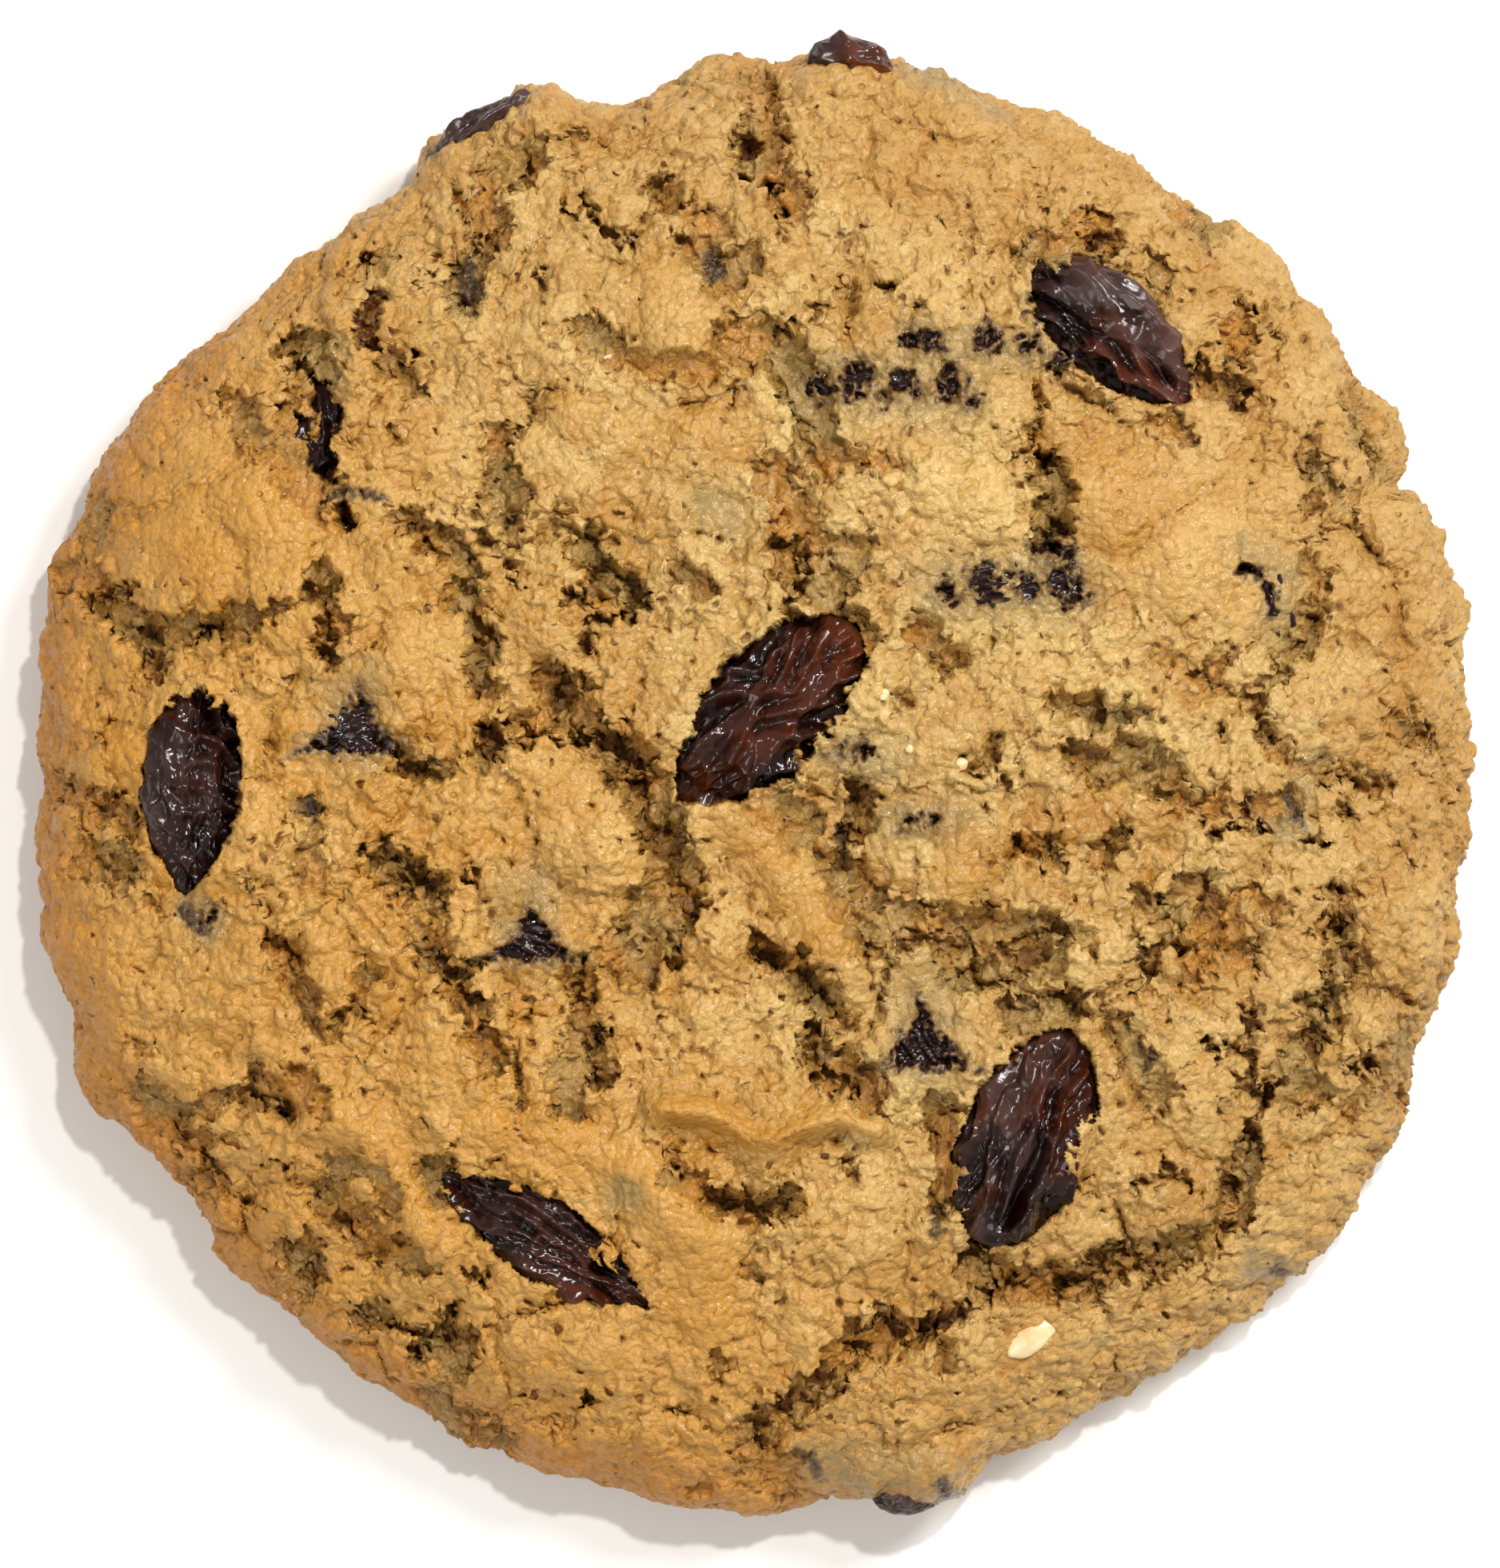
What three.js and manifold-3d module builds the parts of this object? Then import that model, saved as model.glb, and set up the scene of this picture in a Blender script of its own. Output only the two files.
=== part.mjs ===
// An oatmeal raisin cookie: one craggy disc of baked dough with raisins bedded in its crust and rim.
// Millimetres, +Z up. The origin is the centre of the flat underside.

import * as THREE from "three";
import Module from "manifold-3d";
import { mergeVertices } from "three/addons/utils/BufferGeometryUtils.js";

const wasm = await Module();
wasm.setup();

// ---------- driving sizes ----------

const cookieRadius = 42.7; // one scoop of dough, baked out to about 87 mm
const domeHeight = 13.7;
const waistHeight = 3.6; // where the rim bulges furthest
const footInset = 1.8; // the underside is this much smaller all round
const shoulder = 3.4; // exponent of the dome: higher is flatter on top, with a tighter shoulder
const crustGrain = 2.1; // distance between vertices on the crust
const wallGrain = 3.1; // and on the wall
const pocketGap = 0.35; // air between a raisin and the dough that holds it
const crackStep = 2.0; // distance between the teeth along a crack

const crustColour = "#c8975a";
const raisinColour = "#33201d";

// Swellings and hollows of the rim: bearing in degrees, height in mm, spread in degrees.
const rimLobes = [
  [18, 0.6, 7],
  [29, 1.2, 3.5],
  [42, 0.9, 10],
  [63, 0.5, 5],
  [80, 0.9, 7],
  [101, -1.9, 6],
  [109, 1.0, 3],
  [121, -0.5, 4],
  [130, -1.8, 17],
  [160, 0.5, 7],
  [183, -0.5, 5],
  [195, 0.4, 5],
  [206, 0.9, 4],
  [221, -0.8, 12],
  [247, 0.6, 4],
  [268, 1.2, 9],
  [284, 1.4, 4.5],
  [322, 1.2, 12],
  [334, 0.6, 4],
  [345, 0.5, 4],
];

// Mounds of dough on the crust: x, y, radius, height.
const mounds = [
  [-29.5, 14, 6.5, 1.3],
  [-5, 27.5, 4.6, 1.4],
  [-5.5, 19, 4.8, 0.8],
  [-20, 8.5, 4.5, 0.9],
  [-12, -3.5, 5, 1.0],
  [-22, -20, 4.6, 0.9],
  [-3.3, -30, 4, 0.9],
  [2.2, -6, 3.2, 1.0],
  [12.4, -5.4, 3.2, 0.8],
  [10.5, 16.5, 4.5, 0.7],
  [25, 14.8, 6, 0.8],
  [24, -23, 4.2, 0.8],
  [-31, 31, 5, -0.5],
  [4, -6, 12, -0.5],
];

// A rolled ridge of smooth batter: its route in plan, half width and height.
const ridge = {
  route: [[-8, -22.3], [-3, -19.8], [0.3, -21], [3, -20.8], [5, -19.8], [7.5, -20.9]],
  halfWidth: 1.7,
  height: 1.1,
};

// Cracks between the plates of crust: route in plan, width at the top, depth.
const cracks = [
  { route: [[1.4, 44.5], [0.8, 39], [0.1, 37.2], [1, 35], [2.2, 33]], width: 2.2, depth: 3.4 },
  { route: [[-12.6, 37], [-14.6, 34.4], [-15.6, 31.6], [-16.8, 28]], width: 1.8, depth: 2.2 },
  { route: [[-22.4, 30], [-23, 26], [-25.3, 22.4], [-25.6, 18.6], [-24, 14.6]], width: 2.2, depth: 3.0 },
  { route: [[-24, 14.6], [-25, 11.2], [-24.6, 7]], width: 1.8, depth: 2.2 },
  { route: [[-40.5, 11.4], [-37, 9], [-33, 8.6], [-29, 9.2], [-25, 11.2]], width: 1.8, depth: 2.2 },
  { route: [[-20.9, 14.8], [-17.4, 12.7], [-15.9, 8.6], [-15.6, 5.6]], width: 1.4, depth: 1.8 },
  { route: [[-9, 12], [-9.6, 8.6], [-10, 5.6], [-11.2, 3]], width: 2.4, depth: 2.6 },
  { route: [[-16, 1.4], [-13, 3.2], [-10, 2.6], [-7.8, 1.6], [-6.2, -2]], width: 2.2, depth: 2.8 },
  { route: [[-6.2, -2], [-4.6, -5], [-5, -8.8], [-7.4, -10.8]], width: 3.0, depth: 2.4 },
  { route: [[-9.8, -11.4], [-10.2, -14], [-9.3, -18.4]], width: 1.5, depth: 2.0 },
  { route: [[2.6, 24], [3.6, 19.3], [2.6, 15.6], [4, 12.4], [5.6, 9.4]], width: 3.0, depth: 1.8 },
  { route: [[16.2, 20], [17.4, 17.8], [18.3, 15.2], [17.6, 12.8]], width: 1.7, depth: 2.8 },
  { route: [[29.4, 28], [29, 24.6], [31.4, 25.6]], width: 1.4, depth: 1.8 },
  { route: [[40.6, 16.6], [37.4, 17.8], [35.4, 21.6]], width: 1.8, depth: 2.2 },
  { route: [[33.2, 19.6], [33, 16], [34.4, 12.4], [31.6, 10]], width: 1.4, depth: 2.0 },
  { route: [[28, 6.4], [30.2, 4.6], [30.8, 1.6], [34, 0], [37.4, -0.4]], width: 1.6, depth: 2.2 },
  { route: [[-22.6, -4.4], [-19.8, -5.6], [-18, -8.4], [-17.4, -12.4], [-14.8, -17]], width: 1.8, depth: 2.4 },
  { route: [[-27.6, -9], [-26.4, -12.2], [-24.2, -14.6]], width: 1.3, depth: 1.7 },
  { route: [[0, -10.2], [3.4, -11.8], [5, -14], [3.8, -16], [6.6, -18.8]], width: 1.9, depth: 2.4 },
  { route: [[8.4, -9.8], [12.4, -10.8], [18.6, -8.8]], width: 2.4, depth: 2.0 },
  { route: [[24, -6.4], [26.8, -7.6], [26.4, -10.4]], width: 2.0, depth: 1.9 },
  { route: [[-5, -22], [-3.7, -24], [-1.6, -25.4], [2.2, -25.4]], width: 1.3, depth: 2.2 },
  { route: [[34.8, -7], [34.4, -11], [32.6, -16], [30.2, -19.6]], width: 1.7, depth: 2.6 },
  { route: [[30.2, -19.6], [28.4, -24], [28, -27], [22, -28.6]], width: 1.7, depth: 2.6 },
  { route: [[22, -28.6], [18.4, -30], [12.6, -30.4], [6, -33.8]], width: 1.8, depth: 2.8 },
  { route: [[6, -33.8], [2.6, -36.6], [-0.6, -39.6]], width: 2.2, depth: 2.8 },
  { route: [[-30.6, -20], [-28, -18], [-25.4, -20], [-22, -23.4]], width: 1.5, depth: 1.6 },
  { route: [[-17, -31], [-17.8, -33.4], [-18.6, -37]], width: 1.6, depth: 2.2 },
  { route: [[-26.4, -24], [-23, -26.6], [-20.2, -27.8]], width: 1.4, depth: 1.7 },
  { route: [[-42, -0.6], [-39, -1.7], [-36, -2.4]], width: 1.6, depth: 2.0 },
];

// Raisins in the crust: centre, length, width, heading of the long axis in degrees, how sharp
// the tail and the head are, and how far the raisin stands proud of the crust.
const crustRaisins = {
  raisin_left: { x: -32.9, y: -0.9, length: 12.6, width: 6.2, heading: 86, tail: 0.8, head: 0.1, proud: 0.7 },
  raisin_centre: { x: 0.9, y: 3.7, length: 14.6, width: 7.6, heading: 45, tail: 0.5, head: 0.1, proud: 0.6 },
  raisin_lower_right: { x: 16.2, y: -21.2, length: 13.6, width: 7.8, heading: 67, tail: 0.1, head: 0.3, proud: 1.0 },
  raisin_lower_left: { x: -12.0, y: -27.3, length: 14.6, width: 5.2, heading: -33, tail: 0.8, head: 0.9, proud: 0.7 },
  raisin_upper_right: { x: 21.4, y: 26.0, length: 12.4, width: 6.2, heading: -42, tail: 0.2, head: 0.7, proud: 1.1 },
  raisin_crack_left: { x: -25.1, y: 19.8, length: 7.0, width: 4.2, heading: 80, tail: 0.2, head: 0.2, proud: -1.3 },
  raisin_peep_left: { x: -23.3, y: 2.6, length: 5.6, width: 4.0, heading: 10, tail: 0.2, head: 0.2, proud: 0.4 },
  raisin_peep_middle: { x: -12.9, y: -9.7, length: 5.6, width: 4.0, heading: 10, tail: 0.2, head: 0.2, proud: 0.4 },
  raisin_peep_right: { x: 10.2, y: -15.8, length: 5.6, width: 4.2, heading: -10, tail: 0.2, head: 0.2, proud: 0.4 },
  raisin_skinned_upper: { x: 8.4, y: 23.0, length: 10.6, width: 4.6, heading: -2, tail: 0.2, head: 0.2, proud: 0.35 },
  raisin_skinned_lower: { x: 15.4, y: 11.2, length: 9.6, width: 4.4, heading: 2, tail: 0.2, head: 0.2, proud: 0.35 },
  raisin_right: { x: 30.3, y: 10.6, length: 5.4, width: 3.4, heading: -75, tail: 0.2, head: 0.2, proud: 0.45 },
};

// Raisins in the rim: the same, with the height of the centre.
const rimRaisins = {
  raisin_rim_top: { x: 5.9, y: 42.1, z: 6.4, length: 5.2, width: 3.6, heading: -12, tail: 0.2, head: 0.2 },
  raisin_rim_upper_left: { x: -14.9, y: 38.2, z: 6.4, length: 8.6, width: 3.6, heading: 25, tail: 0.2, head: 0.2 },
  raisin_rim_bottom: { x: 9.4, y: -42.0, z: 5.6, length: 4.8, width: 3.6, heading: 14, tail: 0.2, head: 0.2 },
};

const raisinFlatness = 0.64; // thickness as a share of width
const raisinFullness = 2.6; // exponent of the section: 2 is round, more is boxier
const raisinFolds = 7; // lengthwise folds in the skin
const raisinFoldDepth = 0.09;

// A chip of nut baked into the crust.
const nut = { x: 16.5, y: -33.2, length: 3.0, width: 1.5, thickness: 1.5, heading: 40, proud: 0.35 };

// ---------- small helpers ----------

const radians = THREE.MathUtils.degToRad;
const { lerp, clamp, smoothstep, euclideanModulo } = THREE.MathUtils;
const bell = (t) => Math.exp(-t * t);

// A steady random number from 0 to 1 for a pair of numbers.
function scatter(i, j) {
  const s = Math.sin(i * 127.1 + j * 311.7) * 43758.5453;
  return s - Math.floor(s);
}

// Smooth noise from -1 to 1 that varies over one unit.
function noise(x, y) {
  const i = Math.floor(x);
  const j = Math.floor(y);
  const u = smoothstep(x - i, 0, 1);
  const v = smoothstep(y - j, 0, 1);
  const low = lerp(scatter(i, j), scatter(i + 1, j), u);
  const high = lerp(scatter(i, j + 1), scatter(i + 1, j + 1), u);
  return 2 * lerp(low, high, v) - 1;
}

// Distance in plan from a point to a route of straight legs.
function distanceToRoute(x, y, route) {
  let nearest = Infinity;
  for (let k = 1; k < route.length; k++) {
    const [ax, ay] = route[k - 1];
    const [bx, by] = route[k];
    const along = ((x - ax) * (bx - ax) + (y - ay) * (by - ay)) / ((bx - ax) ** 2 + (by - ay) ** 2);
    const t = clamp(along, 0, 1);
    nearest = Math.min(nearest, Math.hypot(x - ax - t * (bx - ax), y - ay - t * (by - ay)));
  }
  return nearest;
}

// ---------- the body of dough ----------

function rimRadius(bearing) {
  let radius = cookieRadius;
  for (const [centre, height, spread] of rimLobes) {
    const away = euclideanModulo(THREE.MathUtils.radToDeg(bearing) - centre + 180, 360) - 180;
    radius += height * bell(away / spread);
  }
  return radius;
}

// Height of the smooth dome at a share of the radius.
function domeAt(share) {
  return waistHeight + (domeHeight - waistHeight) * Math.sqrt(Math.max(0, 1 - share ** shoulder));
}

// Mounds, the ridge and the crags, as height above the dome.
function relief(x, y) {
  let height = 0.45 * noise(x / 5, y / 5) + 0.3 * noise(x / 2.6 + 9, y / 2.6);
  for (const [cx, cy, radius, rise] of mounds) {
    height += rise * bell(Math.hypot(x - cx, y - cy) / radius);
  }
  return height + ridge.height * bell(distanceToRoute(x, y, ridge.route) / ridge.halfWidth);
}

function crustHeight(x, y) {
  const share = Math.hypot(x, y) / rimRadius(Math.atan2(y, x));
  return domeAt(Math.min(share, 1)) + relief(x, y);
}

// The meridian as far as the waist, and from the waist down to the foot.
function domeCurve() {
  const path = new THREE.CurvePath();
  const at = (i) => {
    const share = Math.sin((i / 300) * (Math.PI / 2));
    return new THREE.Vector2(share * cookieRadius, domeAt(share));
  };
  for (let i = 1; i <= 300; i++) path.add(new THREE.LineCurve(at(i - 1), at(i)));
  return path;
}

// Points down the meridian, each with its outward normal and how craggy it is.
function meridian() {
  const dome = domeCurve();
  const points = [];
  for (let travelled = 0; travelled < dome.getLength() - 0.6 * wallGrain; ) {
    const u = travelled / dome.getLength();
    const { x: radius, y: height } = dome.getPoint(u);
    const tangent = dome.getTangent(clamp(u, 0.002, 0.998));
    points.push({ radius, height, normal: new THREE.Vector2(-tangent.y, tangent.x), craggy: height > waistHeight });
    travelled += height > 0.6 * domeHeight ? crustGrain : wallGrain;
  }
  for (let i = 0; i <= 3; i++) {
    const turn = (i / 3) * (Math.PI / 2);
    const normal = new THREE.Vector2(Math.cos(turn), -Math.sin(turn));
    const radius = cookieRadius - footInset * (1 - Math.cos(turn));
    points.push({ radius, height: waistHeight * (1 - Math.sin(turn)), normal, craggy: false });
  }
  return points;
}

// Triangles between two closed rings that both start at bearing 0.
function stitch(inner, outer, triangles) {
  let i = 0;
  let j = 0;
  while (i < inner.length || j < outer.length) {
    const a = inner[i % inner.length];
    const b = outer[j % outer.length];
    const stepInside = (i + 1) / inner.length < (j + 1) / outer.length;
    if (j >= outer.length || (i < inner.length && stepInside)) {
      triangles.push(a, b, inner[++i % inner.length]);
    } else {
      triangles.push(a, b, outer[++j % outer.length]);
    }
  }
}

function geometryFrom(positions, triangles) {
  const geometry = new THREE.BufferGeometry();
  geometry.setAttribute("position", new THREE.Float32BufferAttribute(positions, 3));
  geometry.setIndex(triangles);
  return geometry;
}

function bodyGeometry() {
  const positions = [];
  const triangles = [];
  let previous = null;
  for (const { radius, height, normal, craggy } of meridian()) {
    const spacing = height > 0.6 * domeHeight ? crustGrain : wallGrain;
    const count = radius === 0 ? 1 : Math.max(6, Math.round((2 * Math.PI * radius) / spacing));
    const ring = [];
    for (let k = 0; k < count; k++) {
      const bearing = (k / count) * 2 * Math.PI;
      const reach = radius * (rimRadius(bearing) / cookieRadius);
      const fade = craggy ? smoothstep(height, waistHeight, 0.7 * domeHeight) : 0;
      const lift = fade * relief(reach * Math.cos(bearing), reach * Math.sin(bearing));
      const out = reach + lift * normal.x;
      ring.push(positions.length / 3);
      positions.push(out * Math.cos(bearing), out * Math.sin(bearing), height + lift * normal.y);
    }
    if (previous) stitch(previous, ring, triangles);
    previous = ring;
  }
  const centre = positions.length / 3;
  positions.push(0, 0, 0);
  stitch(previous, [centre], triangles);
  return geometryFrom(positions, triangles);
}

// ---------- cracks ----------

// A ragged wedge that follows a route, broad above the crust and sharp at its bottom edge.
function crackGeometry({ route, width, depth }) {
  const curve = new THREE.CatmullRomCurve3(route.map(([x, y]) => new THREE.Vector3(x, y, 0)), false, "centripetal");
  const steps = Math.max(3, Math.round(curve.getLength() / crackStep));
  const positions = [];
  const triangles = [];
  const above = 1.6;
  for (let k = 0; k <= steps; k++) {
    const u = k / steps;
    const { x, y } = curve.getPointAt(u);
    const heading = curve.getTangentAt(u);
    const side = new THREE.Vector2(-heading.y, heading.x);
    const taper = Math.sin(Math.PI * lerp(0.12, 0.88, u)) ** 0.6;
    const crust = crustHeight(x, y);
    const bottom = crust - depth * taper * (0.8 + 0.4 * scatter(k, depth));
    for (const sign of [1, -1]) {
      const ragged = 0.65 + 0.7 * scatter(k + 7 * sign, x);
      const half = sign * (width / 2) * ragged * taper * (1 + above / depth);
      positions.push(x + side.x * half, y + side.y * half, crust + above);
    }
    const wander = 0.3 * width * (scatter(k, y) - 0.5);
    positions.push(x + side.x * wander, y + side.y * wander, bottom);
    if (k === 0) continue;
    const [l, r, b] = [3 * k, 3 * k + 1, 3 * k + 2];
    triangles.push(l - 3, r - 3, r, l - 3, r, l, r - 3, b - 3, b, r - 3, b, r, b - 3, l - 3, l, b - 3, l, b);
  }
  const end = 3 * steps;
  triangles.push(0, 2, 1, end, end + 1, end + 2);
  return geometryFrom(positions, triangles);
}

// ---------- raisins and nut ----------

// Half width of a raisin along its length, from the tail at -1 to the head at 1.
function halfWidthShare(t, { tail, head }) {
  const sharp = t < 0 ? tail : head;
  return Math.max(0, 1 - Math.abs(t) ** (2.5 - 1.1 * sharp)) ** (0.45 + 0.45 * sharp);
}

// A raisin lies along X: a flattened berry whose skin has lengthwise folds.
function raisinGeometry({ length, width, ...ends }, around, along, foldDepth) {
  const geometry = new THREE.SphereGeometry(1, around, along);
  geometry.rotateZ(-Math.PI / 2);
  const position = geometry.getAttribute("position");
  const point = new THREE.Vector3();
  for (let i = 0; i < position.count; i++) {
    point.fromBufferAttribute(position, i);
    const turn = Math.atan2(point.z, point.y);
    const [c, s] = [Math.cos(turn), Math.sin(turn)];
    const boxy = (Math.abs(c) ** raisinFullness + Math.abs(s) ** raisinFullness) ** (-1 / raisinFullness);
    const fold = 1 + foldDepth * Math.cos(raisinFolds * turn + 2.2 * point.x) * (1 - point.x ** 6);
    const half = (width / 2) * boxy * fold * halfWidthShare(clamp(point.x, -1, 1), ends);
    position.setXYZ(i, (point.x * length) / 2, half * c, half * s * raisinFlatness);
  }
  return geometry;
}

function placed(mesh, { x, y, z, heading }) {
  mesh.position.set(x, y, z);
  mesh.rotation.z = radians(heading);
  mesh.updateMatrix();
  return mesh;
}

// Every raisin with the height of its centre.
function allRaisins() {
  const raisins = { ...rimRaisins };
  for (const [name, spec] of Object.entries(crustRaisins)) {
    const dome = crustHeight(spec.x, spec.y);
    raisins[name] = { ...spec, z: dome + spec.proud - (spec.width / 2) * raisinFlatness };
  }
  return raisins;
}

function raisinMesh(name, spec) {
  const large = spec.length > 11;
  const geometry = raisinGeometry(spec, large ? 21 : 13, large ? 12 : 7, raisinFoldDepth);
  const skin = new THREE.MeshStandardMaterial({ color: raisinColour, roughness: 0.35, metalness: 0 });
  const mesh = placed(new THREE.Mesh(geometry, skin), spec);
  mesh.name = name;
  return mesh;
}

function nutSolid() {
  const geometry = new THREE.CapsuleGeometry(nut.width / 2, nut.length - nut.width, 3, 8);
  geometry.rotateZ(Math.PI / 2);
  const z = crustHeight(nut.x, nut.y) + nut.proud - nut.thickness / 2;
  return solidOf(placed(new THREE.Mesh(geometry), { ...nut, z }));
}

// ---------- joining ----------

function solidOf(mesh) {
  const geometry = mesh.geometry.clone().applyMatrix4(mesh.matrix);
  geometry.deleteAttribute("normal");
  geometry.deleteAttribute("uv");
  const merged = mergeVertices(geometry, 1e-4);
  return new wasm.Manifold(
    new wasm.Mesh({
      numProp: 3,
      vertProperties: merged.attributes.position.array,
      triVerts: new Uint32Array(merged.index.array),
    }),
  );
}

// The smooth hollow that a raisin sits in.
function pocketOf(spec) {
  const size = {
    ...spec,
    length: spec.length + 4 * pocketGap,
    width: spec.width * (1 + raisinFoldDepth) + (2 * pocketGap) / raisinFlatness,
  };
  return solidOf(placed(new THREE.Mesh(raisinGeometry(size, 12, 7, 0)), spec));
}

function geometryOf(solid) {
  const { vertProperties, triVerts } = solid.getMesh();
  const geometry = new THREE.BufferGeometry();
  geometry.setAttribute("position", new THREE.BufferAttribute(vertProperties, 3));
  geometry.setIndex(new THREE.BufferAttribute(triVerts, 1));
  geometry.computeVertexNormals();
  return geometry;
}

function doughMesh(raisins) {
  let solid = solidOf(new THREE.Mesh(bodyGeometry()));
  for (const crack of cracks) solid = solid.subtract(solidOf(new THREE.Mesh(crackGeometry(crack))));
  for (const spec of Object.values(raisins)) solid = solid.subtract(pocketOf(spec));
  solid = solid.add(nutSolid());
  const largest = solid.decompose().sort((a, b) => b.volume() - a.volume())[0]; // crumbs cut loose are dropped
  const crust = new THREE.MeshStandardMaterial({ color: crustColour, roughness: 0.6, metalness: 0 });
  const mesh = new THREE.Mesh(geometryOf(largest), crust);
  mesh.name = "dough";
  return mesh;
}

const raisins = allRaisins();
const cookie = new THREE.Group();
cookie.name = "oatmeal_raisin_cookie";
cookie.add(doughMesh(raisins));
for (const [name, spec] of Object.entries(raisins)) cookie.add(raisinMesh(name, spec));

export default cookie;
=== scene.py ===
import math
from types import SimpleNamespace

import bpy
import numpy as np
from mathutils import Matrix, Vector


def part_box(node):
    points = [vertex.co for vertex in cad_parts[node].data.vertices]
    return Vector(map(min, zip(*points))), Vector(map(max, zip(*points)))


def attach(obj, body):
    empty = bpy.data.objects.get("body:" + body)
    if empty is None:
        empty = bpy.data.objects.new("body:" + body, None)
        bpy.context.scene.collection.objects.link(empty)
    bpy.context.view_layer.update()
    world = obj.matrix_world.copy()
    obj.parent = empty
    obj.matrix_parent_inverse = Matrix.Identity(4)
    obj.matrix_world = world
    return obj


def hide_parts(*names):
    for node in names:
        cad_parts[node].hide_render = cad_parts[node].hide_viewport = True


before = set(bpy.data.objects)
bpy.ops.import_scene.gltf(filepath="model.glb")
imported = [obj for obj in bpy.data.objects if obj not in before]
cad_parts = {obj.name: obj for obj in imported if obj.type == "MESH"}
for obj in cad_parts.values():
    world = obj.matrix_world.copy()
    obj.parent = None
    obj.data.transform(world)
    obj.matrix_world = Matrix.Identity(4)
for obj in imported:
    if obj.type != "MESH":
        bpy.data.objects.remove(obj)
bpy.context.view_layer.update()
mm = 0.001  # sizes below are in millimetres, and meshes are made in metres


def linear(hexColour):
    parts = [int(hexColour[i : i + 2], 16) / 255 for i in (1, 3, 5)]
    return tuple(c / 12.92 if c <= 0.04045 else ((c + 0.055) / 1.055) ** 2.4 for c in parts) + (1.0,)


def ramp(value, low, high):  # smooth step from 0 at low to 1 at high, either way round
    t = np.clip((value - low) / (high - low), 0, 1)
    return t * t * (3 - 2 * t)


def bell(value):
    return np.exp(-value * value)


def cap(distance, reach):  # a round cap, 1 at its middle and 0 from reach on
    return np.maximum(0, 1 - (distance / reach) ** 2)


def hashed(cell, seed):  # one steady random whole number for each row of whole numbers
    c = cell.astype(np.uint32)
    h = c[:, 0] * np.uint32(374761393) + c[:, 1] * np.uint32(668265263)
    h = h + np.uint32((seed * 974634777) % 4294967296)
    if c.shape[1] > 2:
        h = h + c[:, 2] * np.uint32(1274126177)
    h = (h ^ (h >> np.uint32(15))) * np.uint32(739982445)
    h = (h ^ (h >> np.uint32(12))) * np.uint32(695872825)
    return (h ^ (h >> np.uint32(15))).astype(np.int64)


def softNoise(p, size, seed):  # smooth noise, about -1 to 1, whose lumps are size across
    scaled = p / size
    cell = np.floor(scaled)
    f = scaled - cell
    cell = cell.astype(np.int64)
    u = f * f * f * (f * (f * 6 - 15) + 10)
    total = np.zeros(len(p))
    for corner in np.ndindex(2, 2, 2):
        h = hashed(cell + np.array(corner), seed)
        away = f - np.array(corner)
        slope = ((h & 1023) / 511.5 - 1) * away[:, 0]
        slope += ((h >> 10 & 1023) / 511.5 - 1) * away[:, 1]
        slope += ((h >> 20 & 1023) / 511.5 - 1) * away[:, 2]
        for axis in range(3):
            slope *= u[:, axis] if corner[axis] else 1 - u[:, axis]
        total += slope
    return total * 1.7


def layeredNoise(p, size, seed, layers=2, gain=0.5):  # each layer half the size of the one before
    return sum(gain**k * softNoise(p, size / 2**k, seed + k) for k in range(layers))


def sway(p, size, seeds, gain=0.5):  # layered noise in two directions at once
    return np.stack([layeredNoise(p, size, seed, 2, gain) for seed in seeds], 1)


def cells(p, size, seed):  # the nearest of scattered points: how far, how far to its edge, and its number
    scaled = p / size
    home = np.floor(scaled).astype(np.int64)
    near = np.full((2, len(p)), 9.0)
    spot = np.zeros((2, len(p), 2))
    mark = np.zeros(len(p))
    for step in np.ndindex(3, 3):
        cell = home + np.array(step) - 1
        h = hashed(cell, seed)
        point = cell + 0.5 + 0.8 * (np.stack([h & 1023, h >> 10 & 1023], axis=1) / 1023 - 0.5)
        distance = np.hypot(*(point - scaled).T)
        first = distance < near[0]
        second = ~first & (distance < near[1])
        near[1] = np.where(first, near[0], np.where(second, distance, near[1]))
        spot[1] = np.where(first[:, None], spot[0], np.where(second[:, None], point, spot[1]))
        near[0] = np.where(first, distance, near[0])
        mark = np.where(first, (h >> 20 & 1023) / 1023, mark)
        spot[0] = np.where(first[:, None], point, spot[0])
    apart = np.maximum(np.hypot(*(spot[1] - spot[0]).T), 0.05)
    edge = (near[1] ** 2 - near[0] ** 2) / (2 * apart)
    return {"near": near[0] * size, "edge": edge * size, "mark": mark, "away": (scaled - spot[0]) * size}


def distanceToRoute(p, route, reach=4.0):  # beyond reach it just says reach
    corners = np.array(route)
    close = np.all((p > corners.min(axis=0) - reach) & (p < corners.max(axis=0) + reach), axis=1)
    q = p[close]
    nearest = np.full(len(q), reach)
    for a, b in zip(corners, corners[1:]):
        leg = b - a
        t = np.clip(((q - a) @ leg) / (leg @ leg), 0, 1)
        nearest = np.minimum(nearest, np.hypot(*(q - a - t[:, None] * leg).T))
    result = np.full(len(p), reach)
    result[close] = nearest
    return result


def turned(p, heading):  # plan coordinates seen along a heading in degrees
    a = math.radians(heading)
    along = p[:, 0] * math.cos(a) + p[:, 1] * math.sin(a)
    across = p[:, 1] * math.cos(a) - p[:, 0] * math.sin(a)
    return np.stack([along, across], 1)


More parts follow.
